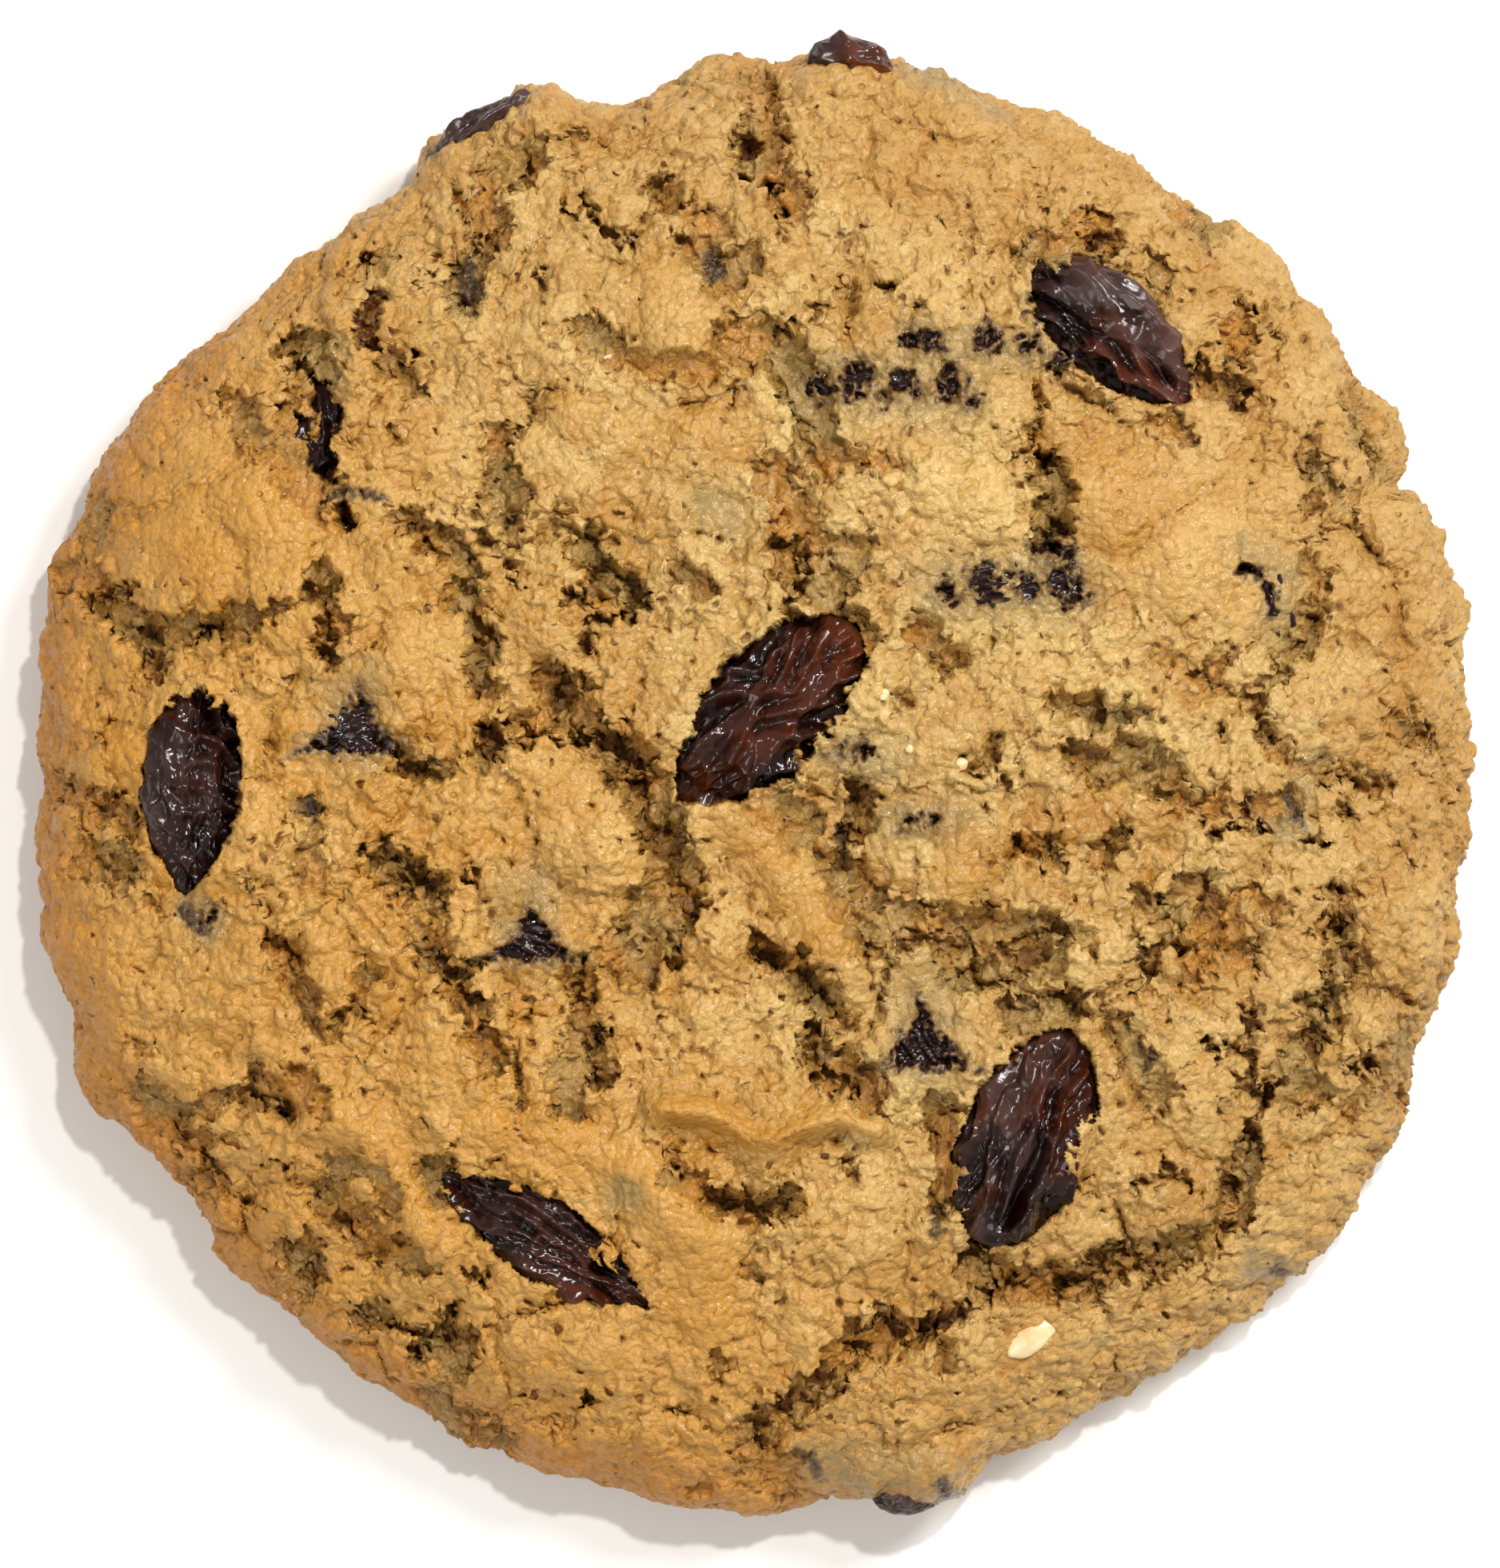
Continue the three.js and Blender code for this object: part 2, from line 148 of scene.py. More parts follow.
def meshObject(name, points, triangles, fields=None):
    mesh = bpy.data.meshes.new(name)
    mesh.vertices.add(len(points))
    mesh.vertices.foreach_set("co", (points * mm).astype(np.float32).ravel())
    mesh.loops.add(len(triangles) * 3)
    mesh.loops.foreach_set("vertex_index", triangles.astype(np.int32).ravel())
    mesh.polygons.add(len(triangles))
    mesh.polygons.foreach_set("loop_start", np.arange(0, len(triangles) * 3, 3, dtype=np.int32))
    mesh.update(calc_edges=True)
    mesh.validate()
    mesh.polygons.foreach_set("use_smooth", np.ones(len(triangles), dtype=bool))
    for field, values in (fields or {}).items():
        mesh.attributes.new(field, "FLOAT", "POINT").data.foreach_set("value", values.astype(np.float32))
    obj = bpy.data.objects.new(name, mesh)
    bpy.context.scene.collection.objects.link(obj)
    return obj


def applied(obj):  # the object with its modifiers turned into plain mesh
    evaluated = obj.evaluated_get(bpy.context.evaluated_depsgraph_get())
    obj.data = bpy.data.meshes.new_from_object(evaluated)
    obj.modifiers.clear()
    return obj


camera = {
    "distance": 700.0,  # far enough that the picture is nearly flat
    "frameTall": 93.08867,  # what the long side of the frame shows
    "frameWide": 36.0,  # of the camera's sensor
    "aimX": -0.05,
    "aimY": -0.45,
    "aimZ": 5.0,  # height of the rim, where the scale is right
    "clipStart": 0.01,
    "clipEnd": 20.0,
}


def makeCamera():
    data = bpy.data.cameras.new("camera")
    data.sensor_width = camera["frameWide"]
    data.lens = camera["frameWide"] * camera["distance"] / camera["frameTall"]
    data.clip_start = camera["clipStart"]
    data.clip_end = camera["clipEnd"]
    obj = bpy.data.objects.new("camera", data)
    obj.location = Vector((camera["aimX"], camera["aimY"], camera["aimZ"] + camera["distance"])) * mm
    bpy.context.scene.collection.objects.link(obj)
    bpy.context.scene.camera = obj


studio = {
    "floor": "#f4f2ee",
    "floorRoughness": 0.9,
    "floorReach": 2000.0,
    "floorDrop": 0.02,  # keeps it clear of the underside
    "sky": "#fdfbf8",
    "skyStrength": 0.42,
}

lamps = {  # watts, size and place of each round light
    "key": (2.82, 200.0, (335.0, 310.0, 470.0)),
    "fill": (1.5, 400.0, (-300.0, -300.0, 550.0)),
    "glint": (2.3, 40.0, (150.0, 260.0, 640.0)),
}


def makeLamp(name, watts, size, place):
    data = bpy.data.lights.new(name, "AREA")
    data.shape = "DISK"
    data.size = size * mm
    data.energy = watts
    obj = bpy.data.objects.new(name, data)
    obj.location = Vector(place) * mm
    obj.rotation_mode = "QUATERNION"
    obj.rotation_quaternion = (-obj.location).to_track_quat("-Z", "Y")
    bpy.context.scene.collection.objects.link(obj)


def makeStudio():
    sides = (-studio["floorReach"], studio["floorReach"])
    corners = np.array([(x, y, -studio["floorDrop"]) for x in sides for y in sides])
    floor = meshObject("floor", corners, np.array([(0, 2, 3), (0, 3, 1)]))
    paper = bpy.data.materials.new("matt white paper")
    paper.use_nodes = True
    shader = paper.node_tree.nodes["Principled BSDF"]
    shader.inputs["Base Color"].default_value = linear(studio["floor"])
    shader.inputs["Roughness"].default_value = studio["floorRoughness"]
    floor.data.materials.append(paper)
    for name, (watts, size, place) in lamps.items():
        makeLamp(name, watts, size, place)
    world = bpy.data.worlds.new("studio")
    world.use_nodes = True
    sky = world.node_tree.nodes["Background"]
    sky.inputs["Color"].default_value = linear(studio["sky"])
    sky.inputs["Strength"].default_value = studio["skyStrength"]
    bpy.context.scene.world = world
    bpy.context.scene.view_settings.view_transform = "Standard"


makeCamera()
makeStudio()
print("camera and studio made")


cookie = {
    "radius": 42.5,
    "domeHeight": 13.7,
    "waistHeight": 3.6,  # height of the widest part
    "footInset": 1.8,  # how far the wall draws in under it
    "shoulder": 3.4,  # more is a flatter top with a rounder edge
    "grain": 0.125,  # distance between vertices before thinning
    "triangles": 690000,  # after thinning, shared by the four quarters
}

crust = {  # how big the shapes are that break the surface up, and how high or deep
    "plate": 7.5,  # the whole crust is split into plates
    "plateRise": 0.7,  # how unevenly they have risen
    "plateGap": 1.4,  # depth between them
    "piece": 3.3,  # torn places break into pieces
    "pieceRise": 0.6,
    "pieceGap": 1.5,
    "lump": 2.2,
    "lumpRise": 0.34,
    "bud": 1.15,
    "knob": 0.8,  # cracks and torn edges follow the edges of knobs
    "knobRise": 0.2,  # along those cracks and edges
    "chip": 0.8,  # broken sides step down in chips
    "pore": 1.5,  # distance between pores
    "poreDepth": 0.5,
    "crumb": 0.6,
    "crumbRise": 0.07,
    "bend": 0.33,  # how far steep sides are bent, which would be ribbed without it
    "bendSize": 1.1,
}

hollowSteps = (  # how a torn side steps down: share of the depth, inset, unevenness, top, foot
    (0.4, 0, 0, 0.04, -0.12), (0.35, 0.12, 0.3, 0.04, -0.12), (0.25, 0.35, 0.4, 0.04, -0.14),
)

crackSteps = (
    (0.5, 0, 0, 0.02, -0.05), (0.3, 0.1, 0.2, 0.02, -0.06), (0.2, 0.2, 0.25, 0.02, -0.08),
)

tears = [  # where the crust has torn into small crumbly pieces: x, y, radius, how open
    (29, -5, 10, 0.75), (18, -9, 8, 1.0), (6, -6, 7, 0.9), (32, 8, 6, 0.4), (35, -16, 8, 0.9),
    (26, -28, 8, 0.7), (3, 14, 6, 0.7), (-8, 9, 6, 0.7), (-18, -9, 8, 0.8), (-13, 16, 7, 0.6),
    (-24, 24, 7, 0.8), (6, 30, 9, 0.6), (-12, 32, 7, 0.7), (30, 22, 7, 0.8), (-30, -20, 8, 0.7),
    (-22, -30, 9, 0.7), (10, -33, 9, 0.6), (-4, -12, 7, 0.7), (-33, 8, 5, 0.6), (-32, -9, 6, 0.5),
    (14, 0, 7, 0.7), (-8, -37, 7, 0.5), (4, -25, 6, 0.5), (18, 33, 6, 0.6),
]

rimLobes = [  # lobes and dents of the outline: bearing in degrees, height, spread in degrees
    (18, 0.5, 6), (24.3, -1.2, 0.9), (29, 1.2, 3.5), (42, 0.9, 10), (63, 0.5, 5), (80, 0.9, 7),
    (101, -1.6, 5), (108.3, 1.0, 2.2), (121, -0.7, 4), (130, -1.8, 17), (160, 0.5, 7), (183, -0.5, 5),
    (195, 0.4, 5), (206, 0.9, 4), (221, -0.9, 12), (247, 0.6, 4), (268, 1.2, 9), (284, 1.3, 4.5),
    (322, 1.2, 12), (334, 0.6, 4), (345, 0.5, 4),
]

hollows = [  # where the crust has torn away from wet crumb: route, half width, depth
    ([(-9.3, 13.2), (-8.6, 11.6), (-6.9, 10.5)], 1.1, 1.2),
    ([(-15.9, 1.2), (-14.2, 2.9), (-12, 3.4)], 0.8, 1.2),
    ([(-11.6, 5.6), (-10.4, 3.6), (-8.6, 1.8), (-6.8, 0.4), (-6, -1.4), (-4.9, -4.4)], 1.3, 1.4),
    ([(-20.6, 0.8), (-18.6, 0.2)], 0.8, 1.1), ([(-15.2, 19.2), (-14.6, 16.8), (-14.3, 15.2)], 1.0, 0.8),
    ([(-20.2, 15), (-18.6, 14.2), (-17, 12.8), (-16.7, 10.6), (-15.8, 8), (-15.6, 5.8)], 0.9, 1.1),
    ([(-26, 25), (-25.8, 22), (-26.6, 19.8), (-25.8, 17)], 1.5, 1.0),
    ([(-25.3, 12), (-24.6, 9.5), (-24.8, 7)], 0.7, 1.0),
    ([(-40, 11.8), (-38, 10.4), (-35.4, 7.8), (-33, 8.6), (-30, 9)], 1.0, 1.1),
    ([(-13, 37), (-14.6, 35.6), (-16, 33.6), (-15.2, 31.6)], 1.2, 1.0),
    ([(-16.7, 30), (-16.8, 28.2)], 1.0, 1.0), ([(-3, 30.6), (-1.6, 29.4), (-0.4, 30.2)], 1.1, 1.1),
    ([(-5, 34.5), (-3.8, 33.2), (-2, 32.3)], 0.8, 0.8),
    ([(-1, 25.6), (1.6, 25.4), (2.6, 23.6), (4, 20.6), (4.6, 19)], 1.4, 1.1),
    ([(5, 19), (7.6, 18.2)], 0.6, 0.8),
    ([(1.6, 17.4), (2.6, 14.6), (2.8, 12.4), (4.6, 11), (5.6, 12.6)], 1.5, 0.9),
    ([(-4.2, 12), (-2.6, 11)], 0.7, 0.7), ([(-10, 26.2), (-7.6, 24.6), (-5, 23.6), (-2.4, 24.2)], 0.8, 0.8),
    ([(-21, 24.2), (-20, 23.4)], 0.7, 0.7), ([(-30.5, 22), (-29.4, 20), (-28, 19)], 0.9, 0.9),
    ([(-38.5, 16), (-39.6, 12.4)], 0.7, 0.6), ([(0.4, 41), (0.6, 38), (0.9, 36), (2.2, 34)], 1.2, 1.2),
    ([(17.2, 18.2), (17.8, 16.6), (18, 14.6), (17.2, 13.4)], 1.0, 1.3),
    ([(16.6, 31), (18.6, 31), (20.8, 31.6)], 1.0, 1.0), ([(20.2, 33), (20.8, 31.6)], 0.7, 1.0),
    ([(24, 30.4), (23.8, 28.4)], 0.7, 0.9), ([(25.6, 33), (27.4, 32.8)], 1.2, 0.9),
    ([(28.8, 27.2), (28.9, 25.2)], 0.8, 1.1), ([(33, 19.4), (33.8, 17.6)], 0.9, 0.8),
    ([(35.8, 22.4), (36.8, 20.2), (37.4, 18.6)], 1.0, 0.9),
    ([(33, 12.4), (33.2, 9.4), (32, 7.2), (30.6, 5.6)], 0.6, 1.0), ([(24.2, 20.8), (25.6, 20.2)], 0.6, 0.7),
    ([(29.4, 4.4), (30, 2.4), (31.6, 0.8), (34.4, 0), (37, -0.4)], 0.5, 0.9),
    ([(38.2, 3), (40, 2.3)], 0.6, 0.9), ([(18.4, 4.4), (20.4, 3.6), (22.4, 3.6)], 0.9, 1.0),
    ([(19.6, 1.2), (22, 0.8), (24.4, 0)], 1.1, 1.0), ([(10, 8.6), (11.6, 7.2)], 1.0, 0.9),
    ([(5, 9.2), (6.4, 8.4)], 0.9, 1.0), ([(27.4, 6.8), (26.4, 5.4)], 0.6, 0.7),
    ([(-41, -0.6), (-38.6, -1.8), (-36.6, -2.4)], 0.9, 1.0), ([(-39, -5), (-37, -5.4)], 1.3, 0.9),
    ([(-4.4, -5.6), (-5.4, -8), (-6.6, -10.4)], 1.9, 1.2),
    ([(-10.2, -12), (-9.8, -14.6), (-9.4, -17)], 1.1, 1.2), ([(-11, -17.6), (-10.4, -19)], 1.2, 0.7),
    ([(-21.4, -5), (-20, -6), (-18.8, -7.4)], 1.1, 1.2),
    ([(-19.4, -9.2), (-18, -11.4), (-16.4, -13.6), (-15.2, -16.6)], 1.0, 1.1),
    ([(-26.2, -4.4), (-25.6, -6)], 0.8, 0.6), ([(-26.4, -1.6), (-25.8, -2.6)], 0.6, 0.8),
    ([(-28, -9.4), (-26.6, -12.6), (-26, -13.4)], 0.7, 0.9),
    ([(-22.4, -11.8), (-23.2, -13.4), (-24.8, -14.8)], 0.6, 0.9),
    ([(-29.6, -19), (-27, -18.2), (-25.6, -19.4)], 0.9, 1.1),
    ([(-36, -18.6), (-34.6, -20.6), (-33, -21.6)], 0.9, 1.0), ([(-34, -19.6), (-31, -19.2)], 0.7, 0.7),
    ([(-32.8, -23.8), (-31.8, -24.4)], 0.8, 0.9), ([(-26.8, -28.2), (-26.4, -30)], 1.2, 1.2),
    ([(-25.2, -24.6), (-23.4, -26), (-21.8, -27.8), (-20, -28.4)], 1.0, 0.9),
    ([(-24.4, -22.6), (-22.2, -23.4), (-21, -25)], 0.7, 0.6),
    ([(-19, -33.8), (-17.4, -32.8), (-17.6, -34.6)], 1.2, 1.2),
    ([(-18.6, -36.4), (-18, -38.4), (-15, -39.6)], 0.9, 1.1), ([(-22.8, -31.6), (-21.6, -32.2)], 0.8, 0.8),
    ([(-18.4, -23.2), (-18.6, -24.4)], 0.9, 1.0),
    ([(0.4, -10.2), (2.6, -11.2), (4, -13), (5, -14.4)], 0.9, 1.2),
    ([(3.6, -15.6), (4.8, -17.2), (7, -18.6)], 1.2, 1.2), ([(6.4, -1), (6, -3)], 0.8, 1.1),
    ([(1, -1.4), (2.6, -2.8)], 1.4, 0.6), ([(5.4, -6), (7.6, -8.6)], 1.7, 1.0),
    ([(9.6, -9), (13.4, -9.6), (17.2, -9.6)], 1.5, 1.0), ([(12.6, -11), (16.8, -10.6)], 1.4, 1.2),
    ([(15.4, -4), (18, -4.2)], 0.7, 1.1), ([(20.6, -4.8), (21.2, -4)], 0.8, 1.0),
    ([(25.8, -7.4), (27, -9)], 1.8, 1.0), ([(26, -11), (28.6, -10.6)], 0.9, 0.8),
    ([(16, -14.2), (18.6, -14)], 1.2, 1.1), ([(25, -1.4), (27, -1.8)], 0.8, 1.0),
    ([(11.2, -19.6), (11.8, -22.4), (11.4, -25)], 0.9, 1.0), ([(30.6, -2), (31.4, -1.4)], 1.0, 0.9),
    ([(34.8, -7), (34.6, -9.4), (34.8, -11.2)], 0.9, 1.2),
    ([(33.6, -13), (33, -15.6), (31, -17.6)], 0.9, 1.2), ([(31, -18.4), (33, -18.6)], 1.3, 0.9),
    ([(38.6, -16), (38.8, -18.6)], 1.4, 0.9), ([(36.4, -17.4), (35.4, -20)], 0.7, 0.9),
    ([(29.8, -21.6), (28.6, -24), (28.2, -26.6)], 0.9, 1.1),
    ([(26.6, -27.4), (24, -28.4), (21, -28.6)], 1.1, 1.3),
    ([(19.6, -30), (16.4, -30), (14, -29.6)], 1.3, 1.2), ([(13.2, -28), (13, -29)], 0.9, 1.2),
    ([(9.6, -32.4), (6.4, -33.6), (4.2, -35.6), (2.4, -37.6)], 1.1, 1.3),
    ([(-2.4, -24.8), (-0.4, -25.2), (2.2, -25.2)], 0.7, 1.3), ([(-4.6, -23), (-3.4, -24)], 0.8, 0.9),
    ([(0.2, -39), (1.4, -41.4)], 1.3, 1.0), ([(-0.4, -28.6), (0.6, -29.6)], 0.5, 0.6),
    ([(21.8, -14.6), (22.8, -17.4), (24, -19)], 0.8, 0.8), ([(19.4, -9.4), (20.2, -10)], 0.6, 0.9),
    ([(29, -6.8), (30.6, -8)], 0.6, 0.8),
]

folds = [  # smooth swells of batter: route, half width, height, how smooth
    ([(-31, 15.5), (-27, 13)], 5.5, 1.2, 0.7),
    ([(-18.7, 35.9), (-15.3, 37.4), (-11.8, 38.9)], 1.2, 1.4, 0.4),
    ([(3.6, 41.2), (8.4, 41)], 1.1, 1.0, 0.3), ([(7.2, -41.3), (11.6, -41.0)], 1.2, 1.3, 0.5),
    ([(-5.6, 28), (-4.2, 25.6)], 3.0, 1.3, 0.6), ([(26.1, -9.3), (26.3, -9.3)], 0.7, 1.1, 0.6),
    ([(-10, 21.4), (-6, 19.6), (-1, 20)], 1.6, 0.7, 0.5), ([(-20, 10.5), (-20.5, 6.5)], 4.0, 0.9, 0.1),
    ([(-14.5, -0.5), (-9.5, -3.6)], 4.0, 1.0, 0.3),
    ([(-27.5, -17), (-25.1, -19.2), (-22.7, -21.7), (-20.8, -24.2), (-19.8, -26.8)], 1.5, 0.8, 0.9),
    ([(-16, -20.6), (-12, -21.6), (-7.2, -23)], 1.7, 0.7, 0.9),
    ([(-5.2, -19.4), (-2.5, -19.6), (0.2, -21.2), (1.6, -21.2), (3.5, -20.4), (5.3, -20),
      (7.4, -20.8)], 0.85, 1.7, 1.0), ([(-4.8, -25), (-2.6, -28), (-2.8, -31.4)], 2.6, 0.9, 0.9),
    ([(-1.6, -2.2), (1.6, -5), (3.4, -7.6), (4.4, -9.4)], 1.8, 1.1, 0.9),
    ([(12.4, -4.4), (12, -5.8)], 1.7, 1.1, 0.9), ([(9.5, 17), (12, 16)], 3.4, 0.7, 0.2),
    ([(22, 15.5), (28, 14)], 4.6, 0.8, 0.7), ([(24, -21.5), (24.5, -25)], 3.4, 0.8, 0.1),
    ([(-38.5, 5), (-38.8, 2)], 2.6, 0.5, 0.2), ([(-31, 31), (-29, 33)], 5.0, -0.5, 0.3),
    ([(4, -6), (8, -4)], 10.0, -0.5, 0.0), ([(15.8, -33.8), (17.4, -32.4)], 1.5, 0.2, 0.8),
]

cracks = [  # route in plan, width, depth
    ([(1.4, 44.5), (0.8, 39), (0.1, 37.2), (1, 35), (2.2, 33)], 1.3, 3.0),
    ([(-5.1, 34.5), (-3.9, 33.3), (-2.1, 32.4)], 0.9, 1.4),
    ([(-12.6, 37), (-14.2, 34.8), (-15.9, 33), (-15.2, 31.5), (-16.8, 28)], 0.9, 1.8),
    ([(-22.4, 30), (-23, 26), (-25.1, 24.1), (-25.4, 22.3), (-26.2, 20.8), (-25.4, 18),
      (-24.2, 15.3)], 1.3, 2.6), ([(-24.2, 15.3), (-24.5, 13), (-25.1, 11.2), (-24.6, 7)], 1.0, 2.2),
    ([(-40.5, 11.4), (-37, 9), (-34.4, 8.4), (-29.6, 9.2), (-25, 11.2)], 1.1, 2.0),
    ([(-20.9, 14.8), (-19.1, 14.4), (-17.4, 12.7), (-15.9, 8.9), (-15.6, 6.8)], 0.9, 1.6),
    ([(-9.6, 9.2), (-9.9, 6.8), (-11.1, 5.3), (-12, 3.5)], 1.3, 2.4),
    ([(-16, 1.4), (-14.4, 2.6), (-12, 3.2), (-10, 2.6), (-7.8, 1.8), (-6.4, -1)], 1.7, 2.6),
    ([(-6.9, -1.7), (-5.1, -3.8), (-3.9, -6.8), (-5.1, -8.9), (-6.9, -10.3)], 2.6, 1.6),
    ([(-9.9, -11.8), (-10.2, -13.9), (-9.3, -16), (-9.3, -18.4)], 1.0, 1.7),
    ([(2.6, 22), (3.5, 19.3), (3.2, 16.3), (3.5, 13.3), (5.5, 10.3)], 1.8, 1.2),
    ([(16.5, 19), (17.3, 17.8), (18, 16.3), (18.4, 14.8), (17.8, 13.3)], 1.1, 2.4),
    ([(20.1, 33), (20.7, 31.5), (21.7, 30.3), (23.5, 29.7)], 0.9, 1.5),
    ([(28.6, 25.6), (29.2, 23.8), (30.2, 27.3), (31, 25.7)], 0.8, 1.6),
    ([(25.9, 33), (27.5, 32.7)], 0.9, 1.4),
    ([(40.6, 16.6), (38.6, 16.8), (37.2, 18.4), (36, 22)], 1.0, 2.0),
    ([(33.6, 19.6), (33, 17.8), (32.9, 16), (34.4, 12.4), (33.2, 11.2), (32.9, 10.3)], 0.8, 1.6),
    ([(28, 6.2), (30.2, 5.6), (29.8, 3.8), (30.4, 2.3), (31.6, 0.8), (34.8, -0.1), (37.4, -0.2)], 0.8, 1.4),
    ([(38.1, 2.9), (39.9, 2.4)], 0.8, 1.4), ([(19, 4.1), (21.7, 3.8)], 0.9, 1.4),
    ([(20.2, 1.1), (22.9, 0.5)], 0.9, 1.3),
    ([(-22.6, -4.4), (-20, -5.3), (-18.8, -6.8), (-18, -8)], 1.0, 2.0),
    ([(-19.7, -9.5), (-18.3, -10.6), (-17.7, -12.1), (-15.9, -13.9), (-15, -16.3)], 0.9, 1.7),
    ([(-27.5, -9.5), (-26.6, -12.1), (-26, -13.3)], 0.8, 1.4),
    ([(-23, -12.4), (-23.3, -13.6), (-24.5, -14.5)], 0.8, 1.4),
    ([(0.2, -10.3), (1.7, -10.9), (3.8, -12.1), (4.9, -13.9), (3.2, -15.4), (4.1, -16.9),
      (6.2, -18.4)], 1.1, 2.1), ([(8.6, -10), (12.2, -10.7), (15, -10.3), (18.4, -8.9)], 1.9, 1.7),
    ([(26.8, -6.6), (26.4, -9.6)], 2.2, 1.3),
    ([(-4.8, -22), (-3.9, -23.8), (-1.8, -25.3), (1.7, -25.3)], 0.9, 2.0),
    ([(34.7, -7), (34.5, -10.3), (33.7, -12.7), (32.9, -15.7), (31.9, -18.1), (30.4, -18.9)], 1.0, 2.2),
    ([(30.4, -18.9), (29.5, -21.7), (28.3, -24.4), (28.3, -26.8), (25.9, -27.6), (22, -28.4)], 1.0, 2.3),
    ([(22, -28.4), (19, -30), (14.9, -29.9), (11.3, -31.8), (5.9, -33.8)], 1.0, 2.4),
    ([(5.9, -33.8), (3.8, -35.7), (1.7, -37.2), (-0.1, -39)], 1.3, 2.3),
    ([(36, -17.2), (38.1, -18.1)], 0.8, 1.4), ([(37.8, -5), (39.6, -5.3)], 0.8, 1.3),
    ([(-29, -19), (-27.5, -17.8), (-26, -18.4)], 0.8, 1.1),
    ([(-25.1, -24.4), (-24.2, -25.3), (-22.7, -26.8), (-20.9, -27.6)], 0.8, 1.4),
    ([(-17.1, -31.5), (-17.7, -32.7), (-17.4, -34.2)], 0.9, 1.8),
    ([(-18.3, -36.6), (-17.7, -38.4), (-15, -39.6), (-13.5, -40.3)], 0.9, 1.6),
    ([(-41.4, -0.6), (-39.1, -1.7), (-36.4, -2.3)], 1.0, 1.6), ([(-38.6, -5), (-36.4, -5.4)], 1.3, 1.2),
]

pits = [  # x, y, radius, depth
    (-11.2, 15.3, 0.6, 1.2), (-8.9, 12.1, 0.7, 1.3), (8.6, 4.5, 0.6, 1.3), (13.1, 0.5, 0.6, 1.5),
    (13.7, -2, 0.5, 1.3), (8.4, -2.9, 0.5, 1.2), (10.5, -2.7, 0.5, 1.2), (5, 28.5, 0.6, 1.2),
    (12.5, 30.6, 0.5, 1.1), (6.4, -1.7, 0.9, 1.4), (5.6, -5.4, 0.6, 1.1), (7.6, -7.2, 0.7, 1.1),
    (15.7, -4.1, 0.6, 1.2), (17.6, -3.9, 0.6, 1.2), (21.1, -4.5, 0.6, 1.2), (25.9, -1.7, 0.6, 1.2),
    (-36, -16.3, 0.5, 1.0), (-33.8, -21.1, 0.6, 1.2), (-30.5, -21.4, 0.5, 1.0), (-26.3, -29.4, 0.6, 1.3),
    (-22.7, -31.8, 0.5, 1.0), (-11.5, -38.4, 0.6, 1.1), (-1.7, -34.8, 0.6, 1.3), (-3.2, -42, 0.5, 1.0),
    (-20.3, 0.8, 0.5, 1.0), (-28.5, 2, 0.5, 1.1), (-22.1, 30.2, 0.5, 1.0), (-26.6, 25.8, 0.5, 1.0),
    (-8.1, -27.4, 0.5, 1.0), (-35.3, 6.5, 0.8, 1.6), (13.1, -27.9, 0.8, 2.0), (-32.4, -23.6, 0.8, 1.3),
]

windows = [  # three-sided patches of raisin under a thin veil of dough:
    # middle of the patch's foot in x and y, half the foot's width, height, lean
    (-23.4, 1.9, 2.1, 3.4, 0.15), (-12.8, -10.4, 1.9, 3.0, 0.0), (10.2, -16.6, 1.9, 3.8, -0.1),
]

slits = [  # narrow gaps over a raisin: route, half width
    ([(-25.6, 23.4), (-25.2, 22.0)], 0.5), ([(-24.6, 21.4), (-25.1, 19.6), (-25.0, 17.8)], 0.75),
    ([(-23.9, 15.9), (-23.6, 14.4)], 0.4), ([(28.9, 12.2), (30.0, 11.9)], 0.35),
    ([(30.2, 11.3), (30.6, 10.2), (30.9, 9.2)], 0.2),
]

films = [  # where the dough over a raisin is thin, wet and grey: route, half width
    ([(4.2, 22.9), (12, 22.4)], 2.2), ([(9.5, 25.4), (16.5, 25.0)], 1.5),
    ([(11.4, 10.9), (18.6, 11.0)], 2.3), ([(-23.2, 5.0), (-23.2, 2.0)], 2.2),
    ([(-13, -7.2), (-12.8, -10)], 2.2), ([(10.1, -12.6), (10.4, -16.4)], 2.2),
    ([(-2.4, 15.8), (-1.2, 15.2)], 1.5), ([(5.2, 1.4), (8, 1)], 1.6), ([(8.4, -2.8), (12, -2.4)], 1.5),
    ([(-32.9, -7.6), (-32, -9)], 1.3), ([(-7.8, -24.7), (-7, -24.4)], 1.0),
    ([(28.9, 13.2), (31.4, 12), (31, 8.6)], 1.3), ([(11.6, -41.4), (3.7, -40.2)], 1.5),
    ([(9.8, 41.8), (14.6, 40.0)], 1.2), ([(29.6, -28.8), (31.3, -29.3)], 1.0),
    ([(33, 0.5), (31.4, -3.4)], 1.1), ([(-24.6, 25), (-24.8, 21.5)], 0.9),
    ([(17.4, 27.8), (18.2, 29.6)], 1.2),
]

